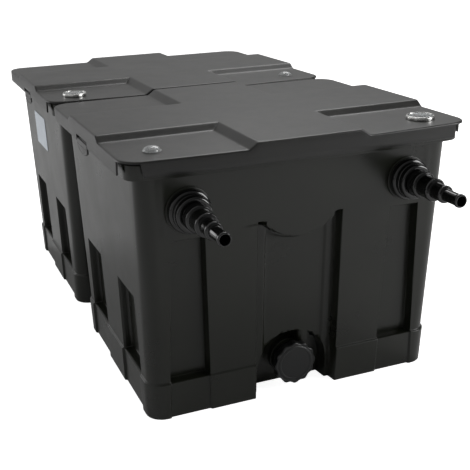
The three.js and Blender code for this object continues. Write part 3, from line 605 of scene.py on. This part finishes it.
def tank(name, holes, seats, webs):
    """A rotationally moulded looking tank: relief walls inside and out, seats and the rim flange."""
    rows = np.unique(np.concatenate([
        [0, 0.6, 1.8, 4], lines((4, 61, 7)), around(PLINTH), around(ARCH_SIDE), lines((82, 150, 4.6)),
        lines((150, 199, 8)), around(204), lines((208, 310, 8)), around(314), around(318, (-2, 0, 2)),
        around(324), lines((328, 443, 4.9))]))
    outer = tank_shell(rows, True, webs, 0, 0, 0)
    edge = np.interp(outer[3:, :, 2], [0, 0.6, 1.8], [1.4, 0.4, 0])[..., None]
    centre = np.array([0, LID_DEPTH / 2, 0])
    flat = (outer[3:] - centre) * (1, 1, 0)
    outer[3:] -= edge * flat / np.linalg.norm(flat, axis=-1, keepdims=True)
    points = outer.reshape(-1, 3)
    faces = outward(points, grid_quads(*outer.shape[:2], loop_columns=True))
    inner_rows = np.unique(np.concatenate([
        [WALL, 6], lines((10, 58, 12)), (62, 66, 70), (73, 79), lines((88, 196, 11)), (201, 208),
        lines((220, 308, 12)), (313, 318, 323, 328), lines((334, 443, 7))]))
    inner = tank_shell(inner_rows, False, webs, WALL, WALL, WALL)
    inside = inner.reshape(-1, 3)
    back = outward(inside, grid_quads(*inner.shape[:2], loop_columns=True))[:, ::-1]
    height = 443
    inner_x = BODY_X + LEAN_X * height - WALL - 0.4
    inner_y = BODY_Y + LEAN_Y * height - WALL - 0.4
    mouth = plan(inner_x, LID_DEPTH / 2 - inner_y, LID_DEPTH / 2 + inner_y, BODY_CORNER - WALL)
    rim = loft([(lid_plan(10), 423), (lid_plan(10), 445.2), (lid_plan(10.8), 446), (mouth, 446),
                (mouth, 441), (lid_plan(13), 441), (lid_plan(13), 423), (lid_plan(12.4), 422),
                (lid_plan(10.6), 422)])
    parts = [(points, holed(points, faces, holes)), (inside, holed(inside, back, holes)), rim]
    parts += [seat(*s) for s in seats]
    make(name, parts, "housing", TANK, front=FRONT[name[:-5]], weld=True)


TRANSFERS = [-PIPE_X, PIPE_X]
tank("front_tank",
     [(x, INLET_Z, 29, False) for x in (-INLET_X, INLET_X)] + [(x, PIPE_Z, 31.5, True) for x in TRANSFERS]
     + [(0, DRAIN_Z, 28, False)],
     [(x, INLET_Z, 24.3, 37, 20, 31, False) for x in (-INLET_X, INLET_X)]
     + [(x, PIPE_Z, 30, 38, 36, 50, True) for x in TRANSFERS] + [(0, DRAIN_Z, 27.3, 34, 75, 96, False)],
     (True, False, False, False))
tank("rear_tank",
     [(x, PIPE_Z, 31.5, False) for x in TRANSFERS] + [(0, OUTLET_Z, 43, True), (0, DRAIN_Z, 28, True)],
     [(x, PIPE_Z, 30, 38, 36, 50, False) for x in TRANSFERS]
     + [(0, OUTLET_Z, 38, 50, 20, 33, True), (0, DRAIN_Z, 27.3, 34, 75, 96, True)],
     (False, False, True, False))


# Lids --------------------------------------------------------------------------------------

def soft_ramp(t, ease_over=0.16):
    """0 to 1 along a straight slope with its two ends rounded: a clipped ramp averaged over a short span."""
    def area(v):
        return np.where(v < 0, 0, np.where(v > 1, v - 0.5, v * v / 2))
    return (area(t + ease_over) - area(t - ease_over)) / (2 * ease_over)


def skin(top, under, bands):
    """A plate from a top grid, an under grid and the loops that join their borders, as open parts that weld.

    Grids run rows along +Y and columns along +X; bands are loops listed from the top border down.
    """
    faces = grid_quads(*top.shape[:2])
    band = np.stack(bands)
    wrap = grid_quads(*band.shape[:2], loop_columns=True)
    return [(top.reshape(-1, 3), faces), (under.reshape(-1, 3), faces[:, ::-1]),
            (band.reshape(-1, 3), wrap[:, ::-1])]


def border(grid):
    """The border points of a grid, anticlockwise from its first."""
    return np.concatenate([grid[0], grid[1:, -1], grid[-1, -2::-1], grid[-2:0:-1, 0]])


def lid(name, dome_side):
    """A lid: a height field over the plan, with a raised cross, rolled edges and a turned-down skirt.

    The plan squeezes the grid's corner squares into quarter discs: (p, q) goes to
    (p sqrt(1 - q q / 2), q sqrt(1 - p p / 2)). The front edge bows by a parabola that fades to the rear.
    """
    half, r = LID_HALF - EDGE, LID_CORNER - EDGE
    bend = half - r
    x = [*lines((0, 84, 12)), *around(90, (-3, -1.5, 0, 1.5, 3)), 97, *around(104, (-3, -1.5, 0, 1.5, 3)),
         *lines((112, 215, 12)), *lines((219, 256, 3.4)), bend, 269, 273.2, 273.8, 278, 283, 288, 293, half]
    x = np.unique(np.round(x, 3))
    x = np.concatenate([-x[:0:-1], x])
    near = CROSS_Y - CROSS_HALF
    far = CROSS_Y + CROSS_HALF
    y = [EDGE, 7, 12, 17, 22, 26, 30.4, 31.1, 35, *lines((38, 71, 3.4)), *lines((76, 134, 10)),
         *around(near - 14, (-3, -1.5, 0, 1.5, 3)), near - 7, *around(near, (-3, -1.5, 0, 1.5, 3)),
         *lines((160, 205, 12)), 210.3, 210.9, *lines((222, 276, 12)), 285.1, 285.7, *lines((296, 326, 10)),
         *around(far, (-3, -1.5, 0, 1.5, 3)), far + 7, *around(far + 14, (-3, -1.5, 0, 1.5, 3)),
         *lines((354, 455, 12)), 461, 466, 471, 476, 481, 486, 490, LID_DEPTH - EDGE]
    y = np.unique(np.round(y, 3))
    gx, gy = np.meshgrid(x, y)
    p = np.clip((np.abs(gx) - bend) / r, 0, 1)
    q = np.clip(np.maximum(EDGE + r - gy, gy - (LID_DEPTH - EDGE - r)) / r, 0, 1)
    inner_x, inner_y = np.minimum(np.abs(gx), bend), np.clip(gy, EDGE + r, LID_DEPTH - EDGE - r)
    px = np.sign(gx) * (inner_x + r * p * np.sqrt(1 - q * q / 2))
    py = inner_y + np.sign(gy - LID_DEPTH / 2) * r * q * np.sqrt(1 - p * p / 2)
    py -= LID_BOW * np.clip(1 - (px / (LID_HALF - LID_CORNER)) ** 2, 0, 1) * np.clip(1 - py / 110, 0, 1)
    rise = np.maximum(soft_ramp((CROSS_HALF + CROSS_SLOPE - np.abs(px)) / CROSS_SLOPE),
                      soft_ramp((CROSS_HALF + CROSS_SLOPE - np.abs(py - CROSS_Y)) / CROSS_SLOPE))
    top = np.stack([px, py, LID_FACE + (LID_CREST - LID_FACE) * rise], -1)
    under = top - (0, 0, PLATE)
    rim = border(top)
    along = np.roll(rim, -1, 0) - np.roll(rim, 1, 0)
    normal = np.column_stack([along[:, 1], -along[:, 0]])
    normal /= np.linalg.norm(normal, axis=1, keepdims=True)
    outer = rim[:, :2] + EDGE * normal
    low = np.full(len(rim), LID_FOOT)
    low[(np.abs(outer[:, 0]) > 271) & (outer[:, 1] < 32)] = LID_FACE - PLATE
    low[(np.abs(outer[:, 0]) > 290) & (np.abs(outer[:, 1] - LID_DEPTH / 2) < 37.2)] = LID_FACE - 14.5

    def loop(out, z):
        return np.column_stack([rim[:, :2] + out * normal, z])

    turn = np.linspace(0, math.pi / 2, 6)
    bands = [loop(EDGE * math.sin(a), rim[:, 2] - EDGE * (1 - math.cos(a))) for a in turn]
    bands += [loop(EDGE, low + (rim[:, 2] - EDGE - low) * k) for k in (0.66, 0.33)]
    bands += [loop(out, low + up) for out, up in ((EDGE, 0.8), (2.3, 0.1), (1.5, 0), (0.7, 0.1), (0, 0.8))]
    bands.append(loop(0, rim[:, 2] - PLATE))
    parts = skin(top, under, bands)
    hole_x = dome_side * GAUGE_X
    for k in (0, 1):
        points, faces = parts[k]
        near_hole = np.hypot(points[:, 0] - hole_x, points[:, 1] - GAUGE_Y) < 9.4
        parts[k] = points, faces[~near_hole[faces].any(1)]
    for side in (-1, 1):
        for end in (-1, 1):
            y0 = LID_DEPTH / 2 + end * 40.4
            lug = lambda inset: plan(3 - inset, y0 - 3 + inset, y0 + 3 - inset, 0.9, front=4, arc=3, side=4) \
                + (side * 294.5, 0)
            parts.append(slab(lug, [(0.6, LID_FOOT + 0.5), (0, LID_FOOT + 1.1), (0, LID_FACE - 3.5)]))
    body = name + "_lid"
    make(body, parts, body, LID, front=FRONT[name], weld=True, sharp=50)
    seal = loft([(lid_plan(i), z) for i, z in ((11.6, 446.3), (11, 447), (11.4, 449), (12.6, 449.7),
                                              (18, 449.7),
                                              (19, 449), (19, 447), (18.2, 446.3), (15, 447.2))])
    make(name + "_lid_seal", [seal], body, RUBBER, front=FRONT[name])


def clip(name, word, side):
    """A lid clip: a bowed plate with a rolled border, a finger groove, a hinge knuckle and a snap bead."""
    y = LID_DEPTH / 2 + np.unique(np.concatenate([np.linspace(-35.4, 35.4, 37), [-34.9, 34.9, -34, 34]]))
    v = np.unique(np.concatenate([np.linspace(0, 1, 17), [0.03, 0.08, 0.92, 0.97]]))
    t = (y - y[0]) / (y[-1] - y[0])
    bottom = 419.5 - 36 * t * (1 - t)
    gy, gv = np.meshgrid(y, v)
    z = bottom + (434 - bottom) * gv
    edge = np.minimum.reduce([gy - y[0], y[-1] - gy, z - bottom, 434 - z])
    groove = np.exp(-((z - 425.2) / 0.8) ** 2) * step(33 - np.abs(gy - LID_DEPTH / 2), 2)
    pinch = 0.7 * np.exp(-((z - bottom - 4.5) / 1.6) ** 2) * step(24 - np.abs(gy - LID_DEPTH / 2), 8)
    out = 300 - 1.0 * (1 - ease(edge / 1.3)) - 1.3 * groove - pinch
    face = np.stack([out * side, gy, z], -1)
    back = np.stack([np.full_like(z, 297.2) * side, gy, z], -1)
    quads = grid_quads(*face.shape[:2])
    band = np.stack([border(face), border(back)])
    wrap = grid_quads(*band.shape[:2], loop_columns=True)
    if side < 0:
        quads, wrap = quads[:, ::-1], wrap[:, ::-1]
    plate = [(face.reshape(-1, 3), quads), (back.reshape(-1, 3), quads[:, ::-1]),
             (band.reshape(-1, 3), wrap[:, ::-1])]
    middle = LID_DEPTH / 2

    def bar(x0, x1, reach):
        return lambda inset: plan((x1 - x0) / 2 - inset, middle - reach + inset, middle + reach - inset, 0.8,
                                  front=3, arc=3, side=8) + (side * (x0 + x1) / 2, 0)

    bead = slab(bar(290.9, 297.6, 26), [(1.2, 424.1), (0.3, 424.6), (0, 425.5), (0.3, 426.4), (1.2, 426.9)])
    web = slab(bar(294.5, 297.6, 36), [(0.3, 430.7), (0, 431.2), (0, 433.5), (0.3, 433.9)])
    knuckle = turned([(1.8, -36.2, 0.2), (2.8, -36.2, 0.5), (2.8, 36.2, 0.5), (1.8, 36.2, 0.2)],
                     side * 294.5, middle, 433, sides=32, steps=3)
    body = f"{name}_clip_{word}"
    make(body, plate + [bead, web, knuckle], body, CLIP, front=FRONT[name], weld=True)
    pin = turned([(0, -40.9, 0), (1.5, -40.9, 0.4), (1.5, 40.9, 0.4), (0, 40.9, 0)],
                 side * 294.5, middle, 433, sides=24, steps=3, closed=False)
    rod = f"{name}_clip_pin_{word}"
    make(rod, [pin], name + "_lid", STEEL, front=FRONT[name], weld=True)


# Instruments on the lids -------------------------------------------------------------------

def ticks(x, y, z0, z1, count, first, sweep, inner, outer, width):
    """Short bars set round a dial: eight corners each, turned by even steps through the sweep."""
    a = first + np.linspace(0, sweep, count)
    long = np.where(np.arange(count) % 4 == 0, inner - 2.0, inner)
    u = np.array([0, 1, 1, 0, 0, 1, 1, 0])
    w = np.array([-1, -1, 1, 1, -1, -1, 1, 1]) * width / 2
    h = np.array([z0] * 4 + [z1] * 4)
    r = long[:, None] + (outer - long[:, None]) * u
    c, s = np.cos(a)[:, None], np.sin(a)[:, None]
    points = np.stack([x + r * c - w * s, y + r * s + w * c, h + 0 * r], -1).reshape(-1, 3)
    box = np.array([[3, 2, 1, 0], [4, 5, 6, 7], [0, 1, 5, 4], [1, 2, 6, 5], [2, 3, 7, 6], [3, 0, 4, 7]])
    faces = (box[None] + 8 * np.arange(count)[:, None, None]).reshape(-1, 4)
    return points, faces


def instruments(name, gauge_side):
    """The thermometer and the clear sight dome with its float ball, all turned about upright axes."""
    body, front = name + "_lid", FRONT[name]
    x, base = gauge_side * GAUGE_X, LID_FACE + 0.3
    case = turned([(0, LID_FACE - 66, 0), (5, LID_FACE - 66, 2), (5, base, 0.3), (24, base, 0.5),
                   (24, base + 4.4, 1.0), (22.6, base + 6.2, 0.9), (21, base + 6.2, 0.5),
                   (21, base + 4.2, 0.2),
                   (19.5, base + 4.2, 0.3), (19.5, base + 1.7, 0.3), (1.2, base + 1.7, 0.2),
                   (1.2, base + 3.5, 0.4), (0, base + 3.5, 0)],
                  x, GAUGE_Y, 0, axis="z", sides=96, steps=4, closed=False)
    make(name + "_thermometer_case", [case], body, SILVER, front=front, weld=True)
    card = turned([(1.4, base + 1.75, 0), (19.3, base + 1.75, 0), (19.3, base + 1.92, 0),
                   (1.4, base + 1.92, 0)],
                  x, GAUGE_Y, 0, axis="z", sides=64)
    make(name + "_dial_card", [card], body, DIAL, front=front, extra=True)
    scale = ticks(x, GAUGE_Y, base + 1.9, base + 2.02, 33, math.radians(-30), math.radians(240),
                  15.6, 18.2, 0.5)
    make(name + "_dial_scale", [scale], body, INK, front=front, extra=True)
    lens = turned([(0, base + 4.6, 0), (20.6, base + 4.6, 0.3), (20.6, base + 5.2, 0.3), (12, base + 5.75, 6),
                   (0, base + 5.9, 0)], x, GAUGE_Y, 0, axis="z", sides=96, closed=False)
    make(name + "_thermometer_lens", [lens], body, LENS, front=front, weld=True)
    z0, z1 = base + 2.1, base + 2.9
    t = np.linspace(0, 1, 13)
    spine = -5 + 22 * t
    width = 1.2 - 0.9 * t ** 1.4
    loops = [np.column_stack([x + k * width * w, GAUGE_Y + spine, np.full(13, z0) + up])
             for k, up, w in ((-1, 0, 1), (-1, 0.5, 1), (-0.4, 0.8, 1), (0.4, 0.8, 1), (1, 0.5, 1),
                              (1, 0, 1))]
    ring = np.stack(loops, 1)
    pointer = surface(np.concatenate([ring[:1].mean(1, keepdims=True).repeat(6, 1), ring,
                                      ring[-1:].mean(1, keepdims=True).repeat(6, 1)]), loop_columns=True)
    hub = turned([(1.5, z0, 0.1), (3, z0, 0.1), (3, z1, 0.3), (1.5, z1, 0.1)], x, GAUGE_Y, 0,
                 axis="z", sides=40)
    needle = name + "_thermometer_needle"
    make(needle, [pointer, hub], needle, NEEDLE, front=front, weld=True)

    x, foot = -x, LID_FACE - 24
    turn = np.linspace(0, math.pi / 2, 13)
    outer = [(13.5 * math.cos(a), base + 1 + 7.5 * math.sin(a), 0) for a in turn]
    inner = [(12 * math.sin(a), base + 1 + 6.2 * math.cos(a), 0) for a in turn]
    dome = turned([*reversed(inner), (7.2, base + 1, 0.2), (7.2, foot + 1.5, 0.4), (4, foot + 1.5, 0.2),
                   (4, foot, 0.2), (8.7, foot, 0.6), (8.7, base, 0.2), (15, base, 0.4), (15, base + 1.2, 0.5),
                   *outer], x, GAUGE_Y, 0, axis="z", sides=72, closed=False)
    make(name + "_sight_dome", [dome], body, DOME, front=front,
         weld=True)
    a = np.linspace(-math.pi / 2, math.pi / 2, 33)
    seam = 0.22 * np.exp(-(a / 0.07) ** 2)
    ball = turned([((6.05 + s) * math.cos(v), 6.05 * math.sin(v), 0) for v, s in zip(a, seam)],
                  x, GAUGE_Y, LID_FACE - 16, axis="z", sides=48, closed=False)
    make(name + "_sight_float", [ball], name + "_sight_float", FLOAT, front=front, weld=True)


for box_name, gauge_side in (("front", 1), ("rear", -1)):
    lid(box_name, -gauge_side)
    instruments(box_name, gauge_side)
    for side, word in ((-1, "left"), (1, "right")):
        clip(box_name, word, side)


# Inlets ------------------------------------------------------------------------------------

HOSE_STEPS = ((-11, -29, 22, 18), (-29, -59, 19, 15.4), (-59, -86, 14.4, 11.4), (-86, -124, 11, 8.2))


def nozzle_outline():
    """The stepped hose nozzle: each step swells to a rounded barb lip before its end face."""
    outer = [(24, -1.3, 0.5), (24, -5, 0.8), (21.2, -5, 0.3), (21.2, -11, 0.3)]
    for start, end, r, _ in HOSE_STEPS:
        outer += [(r - 1.1, start - 0.6, 0.5)]
        if start - end > 12:
            outer += [(r - 1.3, end + 7.5, 1.5), (r, end + 5.2, 0.9), (r, end + 2.6, 0.9)]
        outer += [(r - 0.2, end + 1.8, 1.2), (r - 1.1, end, 0.5)]
    bore = []
    rear = -1.3
    for _, end, _, hole in HOSE_STEPS:
        ahead = end if end == HOSE_STEPS[-1][1] else end + 3
        bore = [(hole, ahead, 0.5), (hole, rear, 0.3)] + bore
        rear = ahead - 3
    return outer + bore


def inlet(word, x):
    """Bulkhead tube, gasket, locknut, ring nut and hose nozzle, turned about the inlet's axis."""
    front, place = FRONT["front"], {"x": x, "y": 0, "z": INLET_Z}
    tube = turned([(20, -1, 0.4), (24, -1, 0.6), (24, 31.3, 0.4), (34, 31.3, 0.6), (34, 35.3, 1.2),
                   (20, 35.3, 0.8)], **place)
    make(f"inlet_bulkhead_{word}", [tube], "housing", FITTING, front=front)
    gasket = turned([(24.3, 17.7, 0.3), (34, 17.7, 0.6), (34, 19.7, 0.6), (24.3, 19.7, 0.3)], **place)
    make(f"inlet_gasket_{word}", [gasket], "housing", RUBBER, front=front)
    nut = turned([(24.3, 7.4, 0.3), (31.2, 7.4, 0.8), (33.8, 9.0, 1.2), (35, 11.6, 1.6), (35, 17.4, 0.8),
                  (24.3, 17.4, 0.3)], sides=96, steps=6, **place)
    make(f"inlet_locknut_{word}", [nut], "housing", FITTING, front=front)
    ring = turned([(22.3, -9, 0.4), (26, -9, 1.4), (28.6, -7.6, 1.6), (29.4, -4, 1.2), (29.4, 0.5, 0.8),
                   (30.5, 1.4, 0.8), (30.5, 7.1, 0.8), (25.4, 7.1, 0.4), (25.4, -5.3, 0.4),
                   (22.3, -5.3, 0.4)],
                  sides=96, steps=6, **place)
    make(f"inlet_union_nut_{word}", [ring], f"inlet_union_nut_{word}", FITTING, front=front)
    nozzle = turned(nozzle_outline(), sides=80, steps=5, **place)
    make(f"hose_nozzle_{word}", [nozzle], f"hose_nozzle_{word}", FITTING, front=front)


inlet("left", -INLET_X)
inlet("right", INLET_X)


# Drains ------------------------------------------------------------------------------------

def scallop(r, h, t):
    """Swells the rim of a cap by 1.5 mm at each of twelve finger lobes, fading in beyond 33 mm."""
    lobes = np.cos(12 * t)
    return r + 1.5 * np.where(lobes > 0, lobes, lobes * 0.9) * ease((r - 33) / 3)


def drain(name, facing):
    """Port tube, seal washer and lobed screw cap of a drain."""
    front = FRONT[name]
    place = {"x": 0, "y": 0 if facing > 0 else LID_DEPTH, "z": DRAIN_Z, "facing": facing}
    port = turned([(22, 51.5, 0.4), (27, 51.5, 0.6), (27, 96.3, 0.4), (33, 96.3, 0.6), (33, 100.3, 1.2),
                   (22, 100.3, 0.6)], **place)
    make(f"{name}_drain_port", [port], "housing", FITTING, front=front)
    washer = turned([(22, 48.3, 0.5), (27, 48.3, 0.5), (27, 51.2, 0.5), (22, 51.2, 0.5)], **place)
    make(f"{name}_drain_seal", [washer], f"{name}_drain_seal", RUBBER, front=front)
    cap = turned([(0, 45.2, 0), (22, 45.1, 3), (27, 45.1, 0.6), (28.4, 44.4, 0.6), (31, 44.4, 0.6),
                  (32.2, 45.3, 0.8), (34, 45.3, 0.6), (35.4, 44.6, 0.8), (37.5, 46.4, 1.6), (37.5, 58.8, 1.2),
                  (36, 60, 0.8), (28.4, 60, 0.4), (28.4, 48, 0.6), (0, 48, 0)],
                 sides=192, closed=False, lobes=scallop, **place)
    make(f"{name}_drain_cap", [cap], f"{name}_drain_cap", CAP, front=front, weld=True, sharp=50)


drain("front", 1)
drain("rear", -1)


# Pipes between the boxes and the outlet ----------------------------------------------------

def transfers():
    """Plain pipes through lipped grommets."""
    start, end = LID_DEPTH - 58, 513 + 58
    for word, x in (("left", -PIPE_X), ("right", PIPE_X)):
        pipe = turned([(21.5, start, 0.8), (24.2, start, 0.8), (25, start + 3, 1), (25, end - 3, 1),
                       (24.2, end, 0.8), (21.5, end, 0.8)], x, 0, PIPE_Z, sides=64)
        make(f"transfer_pipe_{word}", [pipe], "housing", FITTING, front=FRONT["front"])
        for name, facing in (("front", -1), ("rear", 1)):
            grommet = turned([(25.3, 32.7, 0.5), (34, 32.7, 1.4), (35, 35.7, 0.5), (29.7, 35.7, 0.5),
                              (29.7, 50.3, 0.5), (35, 50.3, 0.5), (34, 53.3, 1.4), (25.3, 53.3, 0.5)],
                             x, 0 if facing > 0 else LID_DEPTH, PIPE_Z, facing=facing, sides=64)
            node = f"transfer_grommet_{name}_{word}"
            make(node, [grommet], "housing", RUBBER, front=FRONT[name])


def outlet():
    """The outlet spigot with a stop bead, its gasket and its ring nut."""
    front, place = FRONT["rear"], {"x": 0, "y": LID_DEPTH, "z": OUTLET_Z, "facing": -1, "sides": 96}
    spigot = turned([(34, -40, 0.6), (36.6, -40, 1.0), (37.5, -37, 1.2), (37.5, -8, 0.4), (37.5, 33.3, 0.4),
                     (46, 33.3, 0.8), (46, 37.3, 1.2), (34, 37.3, 0.8)], **place)
    make("outlet_spigot", [spigot], "housing", FITTING, front=front)
    gasket = turned([(38, 17.2, 0.5), (46, 17.2, 0.7), (46, 19.7, 0.7), (38, 19.7, 0.5)], **place)
    make("outlet_gasket", [gasket], "housing", RUBBER, front=front)

    def grips(r, h, t):
        """Twelve shallow grip ribs round the nut."""
        return r - 1.4 * ease((r - 44) / 3) * (np.cos(12 * t) < -0.2)

    nut = turned([(38, 6.7, 0.4), (46, 6.7, 1.6), (48, 9.5, 1.2), (48, 16.9, 1), (38, 16.9, 0.4)],
                 lobes=grips, **{**place, "sides": 192})
    make("outlet_locknut", [nut], "housing", FITTING, front=front,
         sharp=50)


transfers()
outlet()


# Inside the chambers -----------------------------------------------------------------------

def ripple(points, size, height, phase):
    """Adds an uneven surface: height times a product of three sines, each size long and offset by phase."""
    k = 2 * math.pi / size
    x, y, z = points.T
    wave = np.sin(k * x + phase + np.sin(k * 0.37 * y)) * np.sin(k * 0.91 * y - phase) \
        + 0.5 * np.sin(k * 1.7 * (x - y) + 2 * phase) * np.sin(k * 1.3 * z + phase)
    return points + height * wave[:, None] * (0.3, 0.3, 1)


def soft_block(node, edge, crown, size, bumps, phase, finish):
    """A soft block inside its solid's box: edges rounded by edge, sides drawn in by crown, a bumpy face."""
    low, high = (np.array(p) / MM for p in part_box(node))
    low, high = low + bumps, high - bumps
    half = (high[0] - low[0]) / 2
    outline = lambda inset: plan(half - inset, low[1] + inset, high[1] - inset, 14, front=44, arc=6, side=32)
    tall = high[2] - low[2]
    a = np.linspace(-math.pi / 2, math.pi / 2, 13)
    rise = low[2] + edge + (tall - 2 * edge) * np.clip((np.sin(a) + 1) / 2, 0, 1) + edge * np.sin(a)
    inset = edge * (1 - np.cos(a)) + crown * (1 - np.cos(a / 2) ** 4)
    face = []
    for k in (40, 80, 120, 150):
        face.append((k, high[2]))
    under = [(k, low[2]) for k, _ in reversed(face)]
    points, faces = slab(outline, under + list(zip(inset, rise)) + face)
    points = np.clip(ripple(points, size, bumps, phase), low - bumps, high + bumps)
    piece = make(node, [(points, faces)], "housing", finish, weld=True, sharp=180)


for order, foam in enumerate(("coarse_foam", "medium_foam", "fine_foam")):
    soft_block(foam, 5, 2.5, 46 - 9 * order, 0.7, 1.3 * order, FOAMS[foam])
soft_block("polishing_pad", 4, 2, 30, 0.5, 4.1, FOAMS["fine_foam"])
soft_block("bio_media", 18, 6, 34, 3.0, 2.2, MEDIA)

for node in ("front_support_grid", "rear_support_grid", "media_basket"):
    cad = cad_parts[node].data
    cad.materials.clear()
    cad.materials.append(GRID)


# Label -------------------------------------------------------------------------------------

def label():
    """A blank rounded film, laid on the rear box's leaning left wall."""
    outline = lambda inset: plan(58.5 - inset, -37 + inset, 37 - inset, 3.5, front=12, arc=6, side=8)
    (uvw, faces) = slab(outline, [(0, 0), (0, 0.3), (0.15, 0.5)])
    z = 340 + uvw[:, 1]
    points = np.column_stack([-(BODY_X + LEAN_X * z) - 0.3 - uvw[:, 2], 278.5 + uvw[:, 0], z])
    make("rating_label", [(points, outward(points, faces))], "housing", FILM,
         front=FRONT["rear"], weld=True)


label()


# Camera, floor and light -------------------------------------------------------------------

IMAGE = 470                                     # the picture's width and height
FOCAL = 858.3                                   # focal length, in the picture's own units
LENS_SHIFT = 25
VIEWPOINT = (-604.1, -1605.9, 768.8)
AZIMUTH, DIP, ROLL = (math.radians(v) for v in (20.91, 18.18, -1.70))


def camera():
    """A camera low at the front left, with a slight shift of the lens."""
    view = bpy.data.cameras.new("camera")
    view.sensor_width = 36
    view.lens = FOCAL * view.sensor_width / IMAGE
    view.shift_x, view.shift_y = LENS_SHIFT / IMAGE, -LENS_SHIFT / IMAGE
    view.clip_end = 50
    place = bpy.data.objects.new("camera", view)
    ahead = Vector((math.sin(AZIMUTH) * math.cos(DIP), math.cos(AZIMUTH) * math.cos(DIP), -math.sin(DIP)))
    right = Vector((math.cos(AZIMUTH), -math.sin(AZIMUTH), 0))
    up = right.cross(ahead)
    across = right * math.cos(ROLL) + up * math.sin(ROLL)
    over = across.cross(ahead)
    turn = Matrix((across, over, -ahead)).transposed().to_4x4()
    place.matrix_world = Matrix.Translation(Vector(VIEWPOINT) * MM) @ turn
    bpy.context.scene.collection.objects.link(place)
    bpy.context.scene.camera = place


def soft_light(name, place, target, size, power):
    """A square soft box aimed at a point."""
    lamp = bpy.data.lights.new(name, "AREA")
    lamp.shape, lamp.size, lamp.energy = "SQUARE", size, power
    stand = bpy.data.objects.new(name, lamp)
    aim = Vector(target) - Vector(place)
    stand.matrix_world = Matrix.Translation(place) @ aim.to_track_quat("-Z", "Y").to_matrix().to_4x4()
    bpy.context.scene.collection.objects.link(stand)


def studio():
    """A pale floor and a white surround that is dimmer towards the front.

    The floor glows only as the camera sees it, so it stays pale without lighting the object.
    """
    mesh = bpy.data.meshes.new("floor")
    mesh.from_pydata([(-30, -30, -0.0005), (30, -30, -0.0005), (30, 30, -0.0005), (-30, 30, -0.0005)], [],
                     [(0, 1, 2, 3)])
    made, tree, output, place = new_material("white_sweep")
    grime = add(tree, "TexNoise", {"Vector": place, "Scale": 2.0}).outputs["Fac"]
    shade = ramp(tree, grime, [(0.3, colour("f4f4f4")), (0.8, colour("f7f7f7"))])
    seen = add(tree, "LightPath").outputs["Is Camera Ray"]
    lift = add(tree, "Math", {0: seen, 1: 0.9}, operation="MULTIPLY").outputs[0]
    shader = add(tree, "BsdfPrincipled", {"Base Color": shade, "Roughness": 0.9,
                                          "Emission Color": (1, 1, 1, 1), "Emission Strength": lift})
    tree.links.new(shader.outputs[0], output.inputs["Surface"])
    mesh.materials.append(made)
    floor = bpy.data.objects.new("floor", mesh)
    bpy.context.scene.collection.objects.link(floor)
    world = bpy.data.worlds.new("surround")
    bpy.context.scene.world = world
    world.use_nodes = True
    tree = world.node_tree
    tree.nodes.clear()
    way = add(tree, "SeparateXYZ", {0: add(tree, "TexCoord").outputs["Generated"]})
    side = add(tree, "Math", {0: way.outputs["X"], 1: -0.55}, operation="MULTIPLY").outputs[0]
    back = add(tree, "Math", {0: way.outputs["Y"], 1: 0.45, 2: side}, operation="MULTIPLY_ADD").outputs[0]
    glow = add(tree, "MapRange", {"Value": back, "From Min": -0.5, "From Max": 0.6, "To Min": 0.14,
                                  "To Max": 0.52}).outputs["Result"]
    seen = add(tree, "LightPath").outputs["Is Camera Ray"]
    strength = add(tree, "Mix", {0: seen, 2: glow, 3: 1.2}).outputs[0]
    sky = add(tree, "Background", {"Color": (1, 1, 1, 1), "Strength": strength})
    tree.links.new(sky.outputs[0], add(tree, "OutputWorld").inputs["Surface"])
    bpy.context.scene.view_settings.view_transform = "Standard"


camera()
studio()
soft_light("rear_light", (1.3, 1.7, 2.8), (0, 0, 0.2), 1.8, 36)
soft_light("right_light", (2.3, -1.9, 1.3), (0, -0.3, 0.3), 1.3, 42)
soft_light("left_light", (-2.4, 2.3, 0.8), (0, 0.2, 0.2), 1.4, 14)
